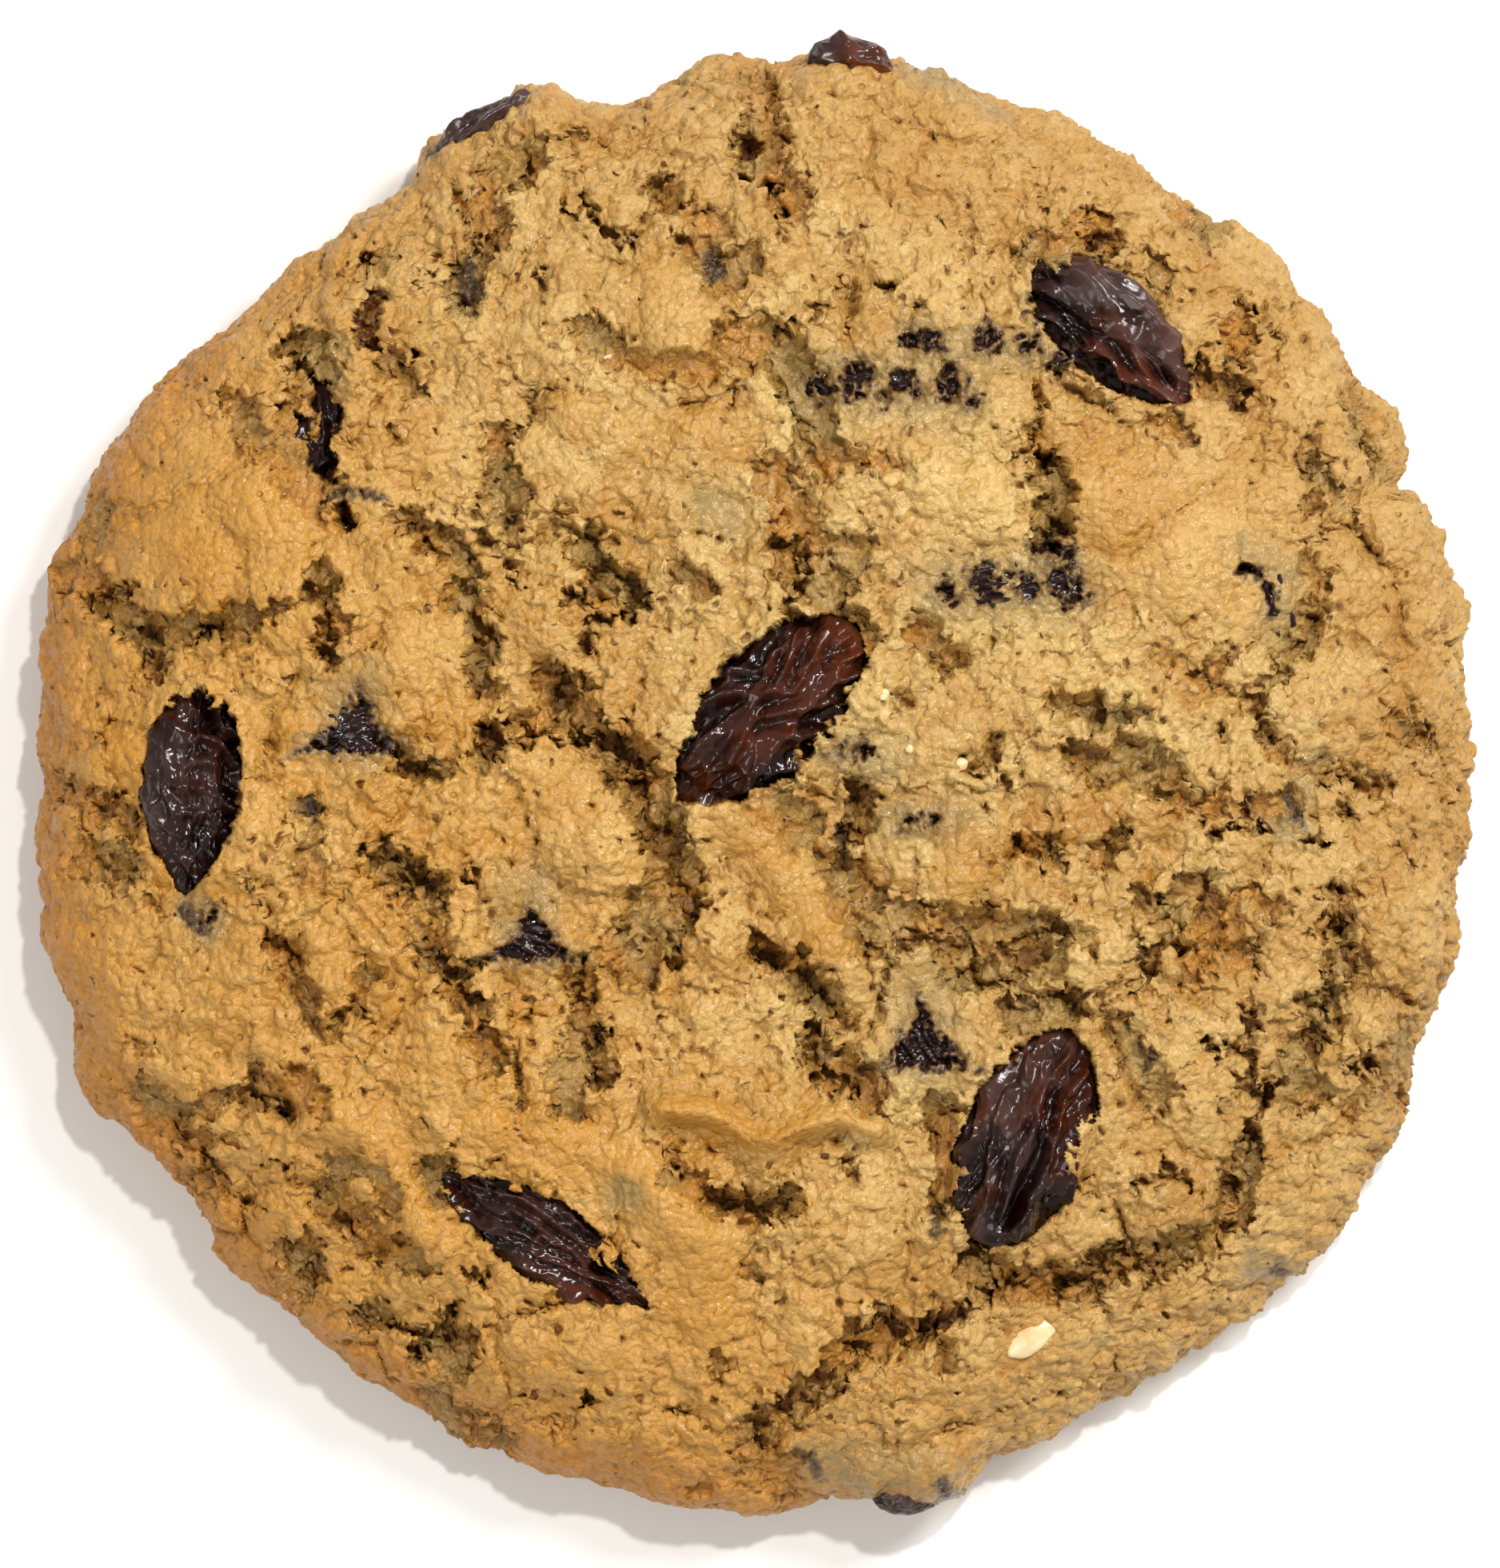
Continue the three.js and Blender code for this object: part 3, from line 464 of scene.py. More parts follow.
filmPits = [  # small holes in those films, with the dark raisin under them: x, y, radius
    (4.2, 22.9, 0.55), (6.2, 23.5, 0.75), (6.1, 22.6, 0.5), (8.9, 23.3, 0.5), (9.6, 22.6, 0.35),
    (11.6, 23.8, 0.4), (11.8, 22.7, 0.65), (9.6, 25.7, 0.55), (10.5, 25.5, 0.6), (13.9, 25.7, 0.65),
    (16.4, 25.3, 0.5), (17.1, 27.4, 0.6), (7.8, 22.3, 0.3), (17.9, 24.3, 0.4), (11.5, 10.8, 0.5),
    (13.6, 11.6, 0.75), (13.8, 10.8, 0.6), (16.3, 11.1, 0.6), (18.2, 11.5, 0.7), (18.9, 10.7, 0.7),
    (18.7, 12.3, 0.35), (17.3, 13.4, 0.5), (18.3, 13.4, 0.6), (15.2, 11.9, 0.25), (5.3, 1.5, 0.3),
    (6.6, 1.5, 0.3), (9.3, -2.6, 0.25), (10.7, -2.6, 0.3), (-31.9, -8.4, 0.35), (13.0, 22.2, 0.25),
]

skins = [  # patches of raisin skin too small to be a raisin of their own: route, half width
    ([(-33.2, -8), (-32.2, -8.9)], 0.6), ([(11.1, -25.4), (10.9, -26.8)], 0.3),
    ([(29.0, 12.1), (29.9, 11.9)], 0.45), ([(30.3, 11.2), (30.7, 10.2), (30.8, 9.4)], 0.3),
    ([(-16.7, 29.6), (-16.5, 28.4)], 0.75), ([(-2.3, 30.4), (-2.2, 29.6)], 0.6),
    ([(31.7, -1.2), (32.1, -2.6)], 0.35), ([(23.1, -15.8), (23.3, -17.2)], 0.3),
    ([(-24.8, 16.6), (-21.5, 16.4)], 0.25), ([(-26, -1.6), (-25.8, -2.2)], 0.35),
    ([(31, -29.2), (31.6, -29.5)], 0.3), ([(5.2, -3), (5.6, -4.4)], 0.3),
    ([(3.4, -40.1), (4.0, -41.1)], 0.35), ([(4.3, -42.9), (5.9, -43.2)], 0.3),
    ([(10.2, 42.2), (13.6, 40.6)], 0.35), ([(11, -41), (12, -41.8)], 0.45),
    ([(-19.6, 36.8), (-18.4, 36.2)], 0.35), ([(20.4, 29.8), (18.4, 29.2)], 0.5),
]

plainRaisin = {  # what a raisin is where the table below doesn't say otherwise
    "tail": 0.2,  # how pointed its ends are
    "head": 0.2,
    "lips": [],  # rounds of crust that lie on its edge: x, y, radius
    "veil": 0,  # thickness of the dough that covers it
    "fold": 0.7,  # height of its wrinkles
    "foldSize": 0.9,
    "calm": 0,  # how much smoother one side is
    "slants": (8, -46),  # headings of its two sets of ridges
    "glow": 0.04,  # how amber it is
    "bloom": 0.1,  # how dull it is
}

raisinSpecs = {
    "raisin_left": {
        "at": (-32.9, -0.9), "length": 12.6, "width": 6.2, "heading": 86, "tail": 0.8, "head": 0.1,
        "lips": [(-33.9, 6.2, 1.5), (-31.2, 5.8, 1.2)],
        "fold": 1.1, "foldSize": 1.3, "calm": 0.8, "slants": (35, 60), "glow": 0.15, "bloom": 0.2,
    },
    "raisin_centre": {
        "at": (0.9, 3.7), "length": 14.6, "width": 7.6, "heading": 45, "tail": 0.5, "head": 0.1,
        "lips": [(-4.7, 3.7, 1.8), (-2.4, 7.9, 1.4), (6.5, 3.6, 1.4), (4.8, 1.4, 1.3), (3.0, -0.6, 1.3),
            (0.9, -1.9, 1.0)],
        "fold": 1.2, "foldSize": 1.7, "calm": 0.0, "glow": 0.35, "bloom": 0.15,
    },
    "raisin_lower_right": {
        "at": (16.2, -21.2), "length": 13.6, "width": 7.8, "heading": 67, "tail": 0.1, "head": 0.3,
        "lips": [(21.3, -22.6, 2.8), (13.5, -16.1, 1.7), (10.8, -23.6, 1.5), (11.2, -26.4, 1.2)],
        "fold": 1.3, "foldSize": 1.8, "calm": 0.3, "slants": (6, 24), "glow": 0.3, "bloom": 0.3,
    },
    "raisin_lower_left": {
        "at": (-12.0, -27.3), "length": 14.6, "width": 5.2, "heading": -33, "tail": 0.8, "head": 0.9,
        "lips": [(-7.9, -27.3, 1.2), (-13.4, -23.4, 1.0)],
        "fold": 1.2, "foldSize": 1.2, "calm": 0.0, "slants": (12, -8), "glow": 0.25, "bloom": 0.25,
    },
    "raisin_upper_right": {
        "at": (21.4, 26.0), "length": 12.4, "width": 6.2, "heading": -42, "tail": 0.2, "head": 0.7,
        "lips": [(18.0, 31.4, 1.3), (22.6, 31.0, 1.6), (25.1, 29.2, 1.7), (26.9, 26.9, 1.6)],
        "fold": 1.6, "foldSize": 1.6, "calm": 0.85, "slants": (-2, 9), "glow": 0.4, "bloom": 0.45,
    },
    "raisin_crack_left": {"at": (-25.1, 19.8), "length": 7.0, "width": 4.2, "heading": 80},
    "raisin_peep_left": {"at": (-23.3, 2.6), "length": 5.6, "width": 4.0, "heading": 10, "veil": 0.1},
    "raisin_peep_middle": {"at": (-12.9, -9.7), "length": 5.6, "width": 4.0, "heading": 10, "veil": 0.1},
    "raisin_peep_right": {"at": (10.2, -15.8), "length": 5.6, "width": 4.2, "heading": -10, "veil": 0.1},
    "raisin_skinned_upper": {"at": (8.4, 23.0), "length": 10.6, "width": 4.6, "heading": -2, "veil": 0.22},
    "raisin_skinned_lower": {"at": (15.4, 11.2), "length": 9.6, "width": 4.4, "heading": 2, "veil": 0.22},
    "raisin_right": {"at": (30.3, 10.6), "length": 5.4, "width": 3.4, "heading": -75, "veil": 0.1},
    "raisin_rim_top": {
        "at": (5.9, 42.1), "length": 5.2, "width": 3.6, "heading": -12,
        "glow": 0.6, "bloom": 0.3, "fold": 0.5, "foldSize": 1.2,
    },
    "raisin_rim_upper_left": {
        "at": (-14.9, 38.2), "length": 8.6, "width": 3.6, "heading": 25,
        "glow": 0.1, "bloom": 0.5,
    },
    "raisin_rim_bottom": {
        "at": (9.4, -42.0), "length": 4.8, "width": 3.6, "heading": 14,
        "bloom": 1.0, "fold": 0.4,
    },
}

raisins = {name: {**plainRaisin, **spec} for name, spec in raisinSpecs.items()}

raisinShape = {
    "flatness": 0.64,  # height as a share of width
    "fullness": 2.6,  # 2 would be round across; more is boxier
    "veiledDrop": 0.5,  # how much lower one under a veil of dough lies
    "fine": (150, 130),  # points around and along one that shows whole
    "plain": (72, 44),
    "wholeFrom": 12,  # length from which one is made fine
}


def rimRadius(bearing):
    radius = np.full(len(bearing), cookie["radius"])
    for centre, height, spread in rimLobes:
        away = (np.degrees(bearing) - centre + 180) % 360 - 180
        radius += height * bell(away / spread)
    return radius


def domeAt(share):
    rise = cookie["domeHeight"] - cookie["waistHeight"]
    return cookie["waistHeight"] + rise * np.sqrt(np.maximum(0, 1 - share ** cookie["shoulder"]))


def meridian():  # evenly spaced points from the top centre over the rim to the foot, with normals and travel
    share = np.sin(np.linspace(0, math.pi / 2, 4000))
    turn = np.linspace(0, math.pi / 2, 400)[1:]
    foot = cookie["radius"] - cookie["footInset"] * (1 - np.cos(turn))
    radius = np.concatenate([share * cookie["radius"], foot])
    height = np.concatenate([domeAt(share), cookie["waistHeight"] * (1 - np.sin(turn))])
    travel = np.concatenate([[0], np.cumsum(np.hypot(np.diff(radius), np.diff(height)))])
    stops = np.linspace(0, travel[-1], int(travel[-1] / cookie["grain"]) + 1)
    r, z = np.interp(stops, travel, radius), np.interp(stops, travel, height)
    slope = np.stack([np.gradient(r, stops), np.gradient(z, stops)], 1)
    slope /= np.hypot(*slope.T)[:, None]
    return {"r": r, "z": z, "normalR": -slope[:, 1], "normalZ": slope[:, 0], "travel": stops}


def stitched(rings):  # triangles between neighbouring closed rings of different counts
    parts = []
    for inner, outer in zip(rings, rings[1:]):
        n, m = len(inner), len(outer)
        when = np.concatenate([(np.arange(n) + 1) / n - 1e-9, (np.arange(m) + 1) / m])
        order = np.argsort(when, kind="stable")
        fromInner = order < n
        i = np.cumsum(fromInner) - fromInner
        j = np.cumsum(~fromInner) - ~fromInner
        a, b = inner[i % n], outer[j % m]
        c = np.where(fromInner, inner[(i + 1) % n], outer[(j + 1) % m])
        keep = (a != b) & (b != c) & (a != c)
        parts.append(np.stack([a, b, c], 1)[keep])
    return np.concatenate(parts)


def doughGrid():  # rings of points from the top centre to one point in the middle of the underside
    rows = meridian()
    counts = np.maximum(6, (2 * math.pi * rows["r"] / cookie["grain"]).astype(int))
    counts[0] = 1
    ends = np.cumsum(counts)
    rings = [np.arange(end - count, end) for end, count in zip(ends, counts)]
    grid = {name: np.append(np.repeat(row, counts), 0) for name, row in rows.items()}
    grid["bearing"] = np.append(np.concatenate([np.arange(n) / n * 2 * math.pi for n in counts]), 0)
    grid["normalZ"][-1] = -1
    return grid, stitched(rings + [np.array([ends[-1]])])


def crustPatterns(plan, cloth, rimShare):  # what frays every edge on the crust; cloth is the plan unrolled
    flat = np.column_stack([cloth, np.zeros(len(cloth))])
    ripple = sway(flat, 0.9, (36, 38))
    knobs = cells(cloth + 0.3 * ripple, crust["knob"], 35)
    snapped = flat - 0.9 * np.column_stack([knobs["away"], np.zeros(len(cloth))])
    return SimpleNamespace(
        plan=plan,
        cloth=cloth,
        flat=flat,
        rimShare=rimShare,
        ripple=ripple,
        knobs=knobs,
        knobPlan=plan - 0.9 * knobs["away"],  # the plan, with each place drawn to the middle of its knob
        knobFlat=snapped,
        drift=sway(flat, 5.0, (21, 27)),
        warp=sway(snapped, 1.8, (11, 17), 0.6),
        teeth=layeredNoise(snapped, 1.4, 33, 2, 0.8),
        chips=[layeredNoise(flat, crust["chip"], seed, 2, 0.7) for seed in (83, 86)],
        grit=layeredNoise(flat, 0.45, 71, 2, 0.8),
    )


def terraced(gap, steps, chips):  # a broken side, from 0 above it to 1 at its foot
    return sum(
        share * ramp(gap + inset + uneven * chip, top, foot)
        for (share, inset, uneven, top, foot), chip in zip(steps, (0, *chips))
    )


def addFolds(c):  # swells of batter, the films over raisins, and how craggy that leaves each place
    c.height = 0.65 * softNoise(c.flat, 7, 31) + 0.25 * softNoise(c.flat, 3.2, 32)
    c.smooth = np.zeros(len(c.plan))
    for route, halfWidth, rise, calm in folds:
        away = distanceToRoute(c.plan + 0.3 * c.warp * (1 - calm), route, 3 * halfWidth + 1)
        near = bell(away / halfWidth)
        c.height += rise * near
        c.smooth = np.maximum(c.smooth, calm * ramp(near, 0.25, 0.7))
    c.film = np.zeros(len(c.plan))
    for route, halfWidth in films:
        away = distanceToRoute(c.plan + 0.5 * c.ripple, route)
        c.film = np.maximum(c.film, bell((away / halfWidth) ** 1.5))
    c.bakedSide = ramp(-0.9 * c.plan[:, 0] - 0.45 * c.plan[:, 1], -5, 25)  # the lower-left side, away from the key light, whose rim is smooth and whose colour is painted darker as shade
    c.rimCalm = ramp(c.rimShare, 0.9, 0.98) * (0.35 + 0.65 * c.bakedSide)
    c.craggy = (1 - 0.85 * c.smooth) * (1 - 0.45 * c.rimCalm) * (1 - 0.8 * ramp(c.film, 0.2, 0.7))


def addHollows(c):  # brink is the distance outside the nearest hollow, and moat the shade under its side
    c.hollow = np.zeros(len(c.plan))
    c.moat = np.zeros(len(c.plan))
    c.brink = np.full(len(c.plan), 4.0)
    steep = 1.15 - 0.8 * ramp(c.rimShare, 0.9, 1.0)
    ragged = ramp(softNoise(c.flat, 2.5, 61), -0.05, 0.3)
    frayed = c.plan - 0.6 * c.knobs["away"] + 0.6 * c.warp
    for route, halfWidth, deep in hollows:
        gap = distanceToRoute(frayed, route) - halfWidth - 0.15 + 0.32 * c.teeth
        sink = terraced(gap, hollowSteps, c.chips)
        sink *= 0.8 + 0.3 * c.knobs["mark"] + 0.3 * ramp(gap, -0.2, -1.2)
        under = bell((gap + 0.35) / 0.22) * ragged
        c.moat = np.maximum(c.moat, under)
        c.hollow = np.maximum(c.hollow, steep * deep * (sink + 0.5 * under))
        c.brink = np.minimum(c.brink, gap)
    c.wet = ramp(c.brink, 0.1, -0.4)


def addCrags(c):  # plates over the whole crust, pieces where it is torn, then steps, lumps and buds
    c.plates = cells(c.cloth + 1.3 * c.drift + 0.35 * c.warp, crust["plate"], 41)
    uneven = (0.3 + 0.7 * c.craggy) * crust["plateRise"] * (c.plates["mark"] - 0.5)
    c.height += 0.5 * (1 - bell(c.plates["edge"] / 1.8)) + uneven
    c.rough = np.zeros(len(c.plan))
    for x, y, radius, openness in tears:
        away = np.hypot(c.plan[:, 0] - x + c.drift[:, 0], c.plan[:, 1] - y + c.drift[:, 1])
        c.rough = np.maximum(c.rough, openness * bell(away / radius))
    c.rough *= c.craggy
    torn = c.cloth - 0.9 * c.knobs["away"] + 0.8 * c.drift + 0.6 * c.warp
    c.pieces = cells(torn, crust["piece"], 43)
    c.height += c.rough * crust["pieceRise"] * (c.pieces["mark"] - 0.5)
    c.step = ramp(softNoise(c.knobFlat, 4.6, 81) + 0.3 * c.teeth, -0.03, 0.03)
    onTop = 1 - ramp(c.rimShare, 0.75, 0.9)
    c.height += c.craggy * (0.3 * c.step * onTop + 0.1 * c.rough * (c.knobs["mark"] - 0.5))
    lumps = cells(c.cloth + 0.6 * c.warp, crust["lump"], 59)
    c.height += c.craggy * crust["lumpRise"] * (cap(lumps["near"], 1.5) - 0.5)
    buds = cells(c.cloth + 0.35 * c.ripple, crust["bud"], 63)
    knobbly = 0.15 + 0.3 * ramp(c.rimShare, 0.72, 0.92) * (1 - c.bakedSide)
    c.height += (0.3 + 0.7 * c.craggy) * knobbly * (cap(buds["near"], 0.75) - 0.5)


def cut(c, gap, deep):  # keeps the distance outside the nearest crack or pit, and how deep that one is
    c.depth = np.where(gap < c.opening, deep, c.depth)
    c.opening = np.minimum(c.opening, gap)


def addCracks(c):  # gaps between the plates and pieces, cracks, pits and pores
    gaping = c.craggy * 0.6 * ramp(softNoise(c.flat, 8, 51), 0.0, 0.7)
    c.opening = c.plates["edge"] - gaping + 0.25 * c.teeth + 0.2
    c.depth = np.full(len(c.plan), crust["plateGap"])
    parting = 1.9 * c.rough * ramp(softNoise(c.flat, 4.4, 53), 0.0, 0.6)
    cut(c, c.pieces["edge"] + 0.5 - parting + 0.3 * c.teeth, crust["pieceGap"] + c.pieces["mark"])
    spread = 1.5 * ramp(softNoise(c.flat, 2.4, 55), -0.5, 0.8)
    for route, width, deep in cracks:
        away = distanceToRoute(c.knobPlan + 0.5 * c.warp, route)
        cut(c, away - width / 2 * spread + 0.3 * c.teeth + 0.04, deep)
    for x, y, radius, deep in pits:
        cut(c, np.hypot(c.knobPlan[:, 0] - x, c.knobPlan[:, 1] - y) - radius + 0.25 * c.teeth, deep)
    c.opening = np.maximum(c.opening, 0.8 * ramp(c.film, 0.25, 0.6) - 0.25)
    c.torn = bell(np.maximum(c.opening, 0) / 1.2) * ramp(c.depth, 0.5, 1.6)
    holes = cells(c.cloth + 0.3 * c.ripple, crust["pore"], 57)
    holeRadius = c.craggy * (0.13 + 0.16 * c.torn) * ramp(holes["mark"], 0.55, 1.0)
    hole = holes["near"] - holeRadius + 0.04 * c.ripple[:, 0]
    ledge = terraced(c.opening, crackSteps, c.chips)
    sunk = c.depth * ledge * (0.65 + 0.35 * ramp(c.opening, -0.1, -0.6))
    c.edge = np.minimum(np.abs(c.brink), np.abs(c.opening))
    c.edgeZone = np.maximum(bell(c.edge / 0.8), c.wet)
    c.dome = cap(c.knobs["near"], 0.5)
    sagging = 0.22 * c.craggy * bell(np.maximum(np.minimum(c.brink, c.opening), 0) / 0.3)
    c.height += c.craggy * (0.03 + crust["knobRise"] * c.edgeZone) * (c.dome - 0.5) - sagging
    c.height -= sunk + c.hollow + crust["poreDepth"] * ramp(hole, 0.04, -0.06)
    crumbs = layeredNoise(c.flat, crust["crumb"], 47, 2, 0.75)
    c.height += crust["crumbRise"] * crumbs * (0.4 + 0.6 * c.craggy)
    # crevice: the brown of the crumb inside cracks, and painted shade that grows darker in deeper cracks and
    # hollows and under a torn side
    c.crevice = np.maximum(ramp(sunk, 0.4, 2.5) * ledge, 0.3 * ramp(c.hollow, 1.3, 2.4) * (1 - c.dome))
    c.crevice = np.maximum(c.crevice, 0.35 * c.moat)
    c.pore = ramp(hole, 0.05, -0.05)


def addSkins(c):  # skin is where a raisin's skin shows
    c.skin = np.zeros(len(c.plan))
    creased = layeredNoise(c.flat * np.array((1.5, 0.8, 1)), 1.1, 73, 2)
    c.height += 0.16 * ramp(c.film, 0.3, 0.8) * creased
    stir = 0.5 * c.ripple
    for x, y, radius in filmPits:
        away = np.hypot(c.plan[:, 0] - x + stir[:, 0], c.plan[:, 1] - y + stir[:, 1])
        gap = away - radius + 0.3 * c.grit
        c.height -= 0.8 * ramp(gap, 0.1, -0.4)
        halo = 0.42 * bell(np.maximum(gap, 0) / 0.6)
        c.skin = np.maximum(c.skin, np.maximum(ramp(gap + 0.3 * c.grit, 0.3, -0.3), halo))
        c.height += 0.16 * bell((gap - 0.5) / 0.3)
    for x, y, halfFoot, tall, lean in windows:
        up = (c.plan[:, 1] - y + 0.3 * c.ripple[:, 1]) / tall
        across = np.abs(c.plan[:, 0] - x - lean * up * tall + stir[:, 0]) / halfFoot
        inside = np.minimum(1 - up - across**0.6, (up + 0.1) * 2.5)
        bare = ramp(inside + 0.25 * c.grit, -0.16, 0.12)
        c.skin = np.maximum(c.skin, bare + 0.3 * ramp(inside + 0.2 * c.grit, -0.5, -0.1))
        c.film = np.maximum(c.film, 0.6 * ramp(inside, -0.6, -0.1))
        c.height -= 0.9 * ramp(inside + 0.2 * c.grit, 0.04, 0.2) - 0.2 * bell((inside + 0.25) / 0.25)
    frayed = c.plan + 0.3 * c.ripple
    for route, halfWidth in slits:
        gap = distanceToRoute(frayed, route) - halfWidth + 0.25 * c.teeth
        c.height -= 2.4 * ramp(gap, 0.08, -0.3)
        # painted shade in the slit
        c.crevice = np.maximum(c.crevice, ramp(gap, 0.05, -0.15))
    for route, halfWidth in skins:
        gap = distanceToRoute(frayed, route) - halfWidth
        c.skin = np.maximum(c.skin, 0.65 * ramp(gap + 0.25 * c.grit, 0.3, -0.3))
    c.skin = np.minimum(c.skin, 1)
    c.height -= 0.12 * c.skin


def doughFinish(c):  # what the material reads at each place
    # low: painted shade along the edges of plates and pieces and in torn places
    low = 0.5 * bell(c.plates["edge"]) + 0.5 * c.rough * bell(c.pieces["edge"] / 0.5) + 0.7 * c.torn
    toneAndLitTops = 0.5 + 0.4 * softNoise(c.flat, 6, 69) + 0.3 * (c.plates["mark"] - 0.5)
    toneAndLitTops += 0.25 * softNoise(c.flat, 1.8, 70)
    # painted light: raised steps, and knob tops near edges, are paler
    toneAndLitTops += c.craggy * (0.25 * (c.step - 0.5) + 0.3 * c.edgeZone * (c.dome - 0.4))
    # the rim is browned, and painted darker towards the upper right as shade against the key light that falls
    # strongest there
    farCorner = ramp(c.plan.sum(axis=1), 10, 48)
    return {
        "crevice": c.crevice,
        "toneAndLitTops": toneAndLitTops,
        "smooth": c.smooth,
        "film": c.film,
        "skin": c.skin,
        "pore": c.pore,
        "rim": ramp(c.rimShare, 0.5, 0.97) * (0.7 + 0.35 * farCorner),
        # painted shade: the whole lower-left side is darker, and its smooth rim, partly browned in baking,
        # darker still
        "baked": c.rimCalm * c.bakedSide,
        "side": c.bakedSide,
        "wet": c.wet,
        "low": np.minimum(low, 1),
    }


def halfWidthShare(t, spec):  # half width of a raisin along its length, from the tail at -1 to the head at 1
    sharp = np.where(t < 0, spec["tail"], spec["head"])
    return np.maximum(0, 1 - np.abs(t) ** (2.5 - 1.1 * sharp)) ** (0.45 + 0.45 * sharp)


def raisinHigh(name, spec):  # height of its top
    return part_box(name)[1][2] / mm - (raisinShape["veiledDrop"] if spec["veil"] else 0)


def raisinGap(plan, spec):  # distance outside a raisin's outline
    away = turned(plan - np.array(spec["at"]), spec["heading"])
    t = np.clip(away[:, 0] / (spec["length"] / 2), -1, 1)
    beyond = np.maximum(np.abs(away[:, 0]) - spec["length"] / 2, 0)
    beside = np.abs(away[:, 1]) - spec["width"] / 2 * halfWidthShare(t, spec)
    return np.where(beyond > 0, np.hypot(beyond, away[:, 1]), beside)


def raisinTop(plan, spec, high):  # height of a raisin's top at each place, and where the raisin is
    away = turned(plan - np.array(spec["at"]), spec["heading"])
    t = np.clip(away[:, 0] / (spec["length"] / 2), -0.999, 0.999)
    share = halfWidthShare(t, spec)
    across = np.abs(away[:, 1]) / np.maximum(spec["width"] / 2 * share, 0.05)
    inside = (across < 1) & (np.abs(away[:, 0]) < spec["length"] / 2)
    tall = spec["width"] * raisinShape["flatness"] / 2
    full = raisinShape["fullness"]
    section = np.maximum(0, 1 - np.minimum(across, 1) ** full) ** (1 / full)
    return high - tall + tall * share * section, inside


def bedRaisin(c, fields, bare, name, spec):  # the crust covers a veiled raisin, and opens round one with lips
    high = raisinHigh(name, spec)
    top, inside = raisinTop(c.plan, spec, high)
    if spec["veil"]:  # apart from the pits in its film
        short = top + spec["veil"] + 0.1 * c.teeth - bare - c.height
        c.height += np.where(inside & (fields["skin"] < 0.5), np.maximum(short, 0), 0)
    if spec["lips"]:
        lip = np.full(len(c.plan), -9.0)
        for x, y, radius in spec["lips"]:
            lip = np.maximum(lip, radius - np.hypot(c.knobPlan[:, 0] - x, c.knobPlan[:, 1] - y))
        lip += 0.5 * c.teeth
        c.height += inside * ramp(lip, -0.3, 0.1) * np.maximum(top + 0.45 - bare - c.height, 0)
        gap = np.maximum(raisinGap(c.plan + 0.2 * c.ripple, spec) + 0.12 + 0.12 * c.teeth, lip)
        c.height += 0.2 * bell((gap - 0.5) / 0.6) - 3.4 * ramp(gap, 0.04, -0.3)
        # painted shade in the gap round the raisin
        fields["crevice"] = np.maximum(fields["crevice"] * (gap > 0), ramp(gap, 0.0, -0.2))
        fields["skin"] *= gap > 0


def makeDough():
    grid, triangles = doughGrid()
    heading = np.stack([np.cos(grid["bearing"]), np.sin(grid["bearing"])], 1)
    rimShare = np.where(grid["normalZ"] < 0.02, 1.0, grid["r"] / cookie["radius"])
    stretch = 1 + (rimRadius(grid["bearing"]) / cookie["radius"] - 1) * rimShare**6
    plan = heading * (grid["r"] * stretch)[:, None]
    cloth = heading * grid["travel"][:, None]
    print("dough grid of", len(plan), "points")
    c = crustPatterns(plan, cloth, rimShare)
    for addShapes in (addFolds, addHollows, addCrags, addCracks, addSkins):
        addShapes(c)
    fields = doughFinish(c)
    for name, spec in raisins.items():
        bedRaisin(c, fields, grid["z"], name, spec)
    fade = ramp(grid["z"], 0.6, 4.5)
    lift = c.height * fade
    lift[-1] = 0
    lean = ramp(rimShare, 0.93, 1.0)  # the crust rises straight up, and on the rim outwards
    reach = grid["r"] * stretch + lift * lean * grid["normalR"]
    up = grid["z"] + lift * (1 - lean + lean * grid["normalZ"])
    points = np.column_stack([heading * reach[:, None], up])
    bend = (0.3 + 0.7 * bell(c.edge / 0.7)) * (1 - 0.7 * c.smooth) * (1 - 0.6 * ramp(c.film, 0.2, 0.7))
    bend *= 1 - 0.5 * ramp(rimShare, 0.92, 1)
    wobble = sway(points * np.array((1, 1, 1.7)), crust["bendSize"], (91, 95))
    points[:, :2] += crust["bend"] * (fade * bend)[:, None] * wobble
    points[-1] = 0
    fields["crevice"] *= fade
    for name in ("skin", "film"):  # these lie on the crust, not on the wall under it
        fields[name] *= ramp(grid["z"], 4.0, 5.6)
    fields["under"] = ramp(grid["z"], 2.0, 0.2)
    dough = meshObject("cookie_dough", points, triangles, fields)
    thin = dough.modifiers.new("thin", "DECIMATE")
    thin.ratio = cookie["triangles"] / len(triangles)
    return applied(dough)


doughFields = (
    "crevice", "toneAndLitTops", "smooth", "film", "skin", "pore", "rim", "baked", "side", "wet", "low", "under",
)


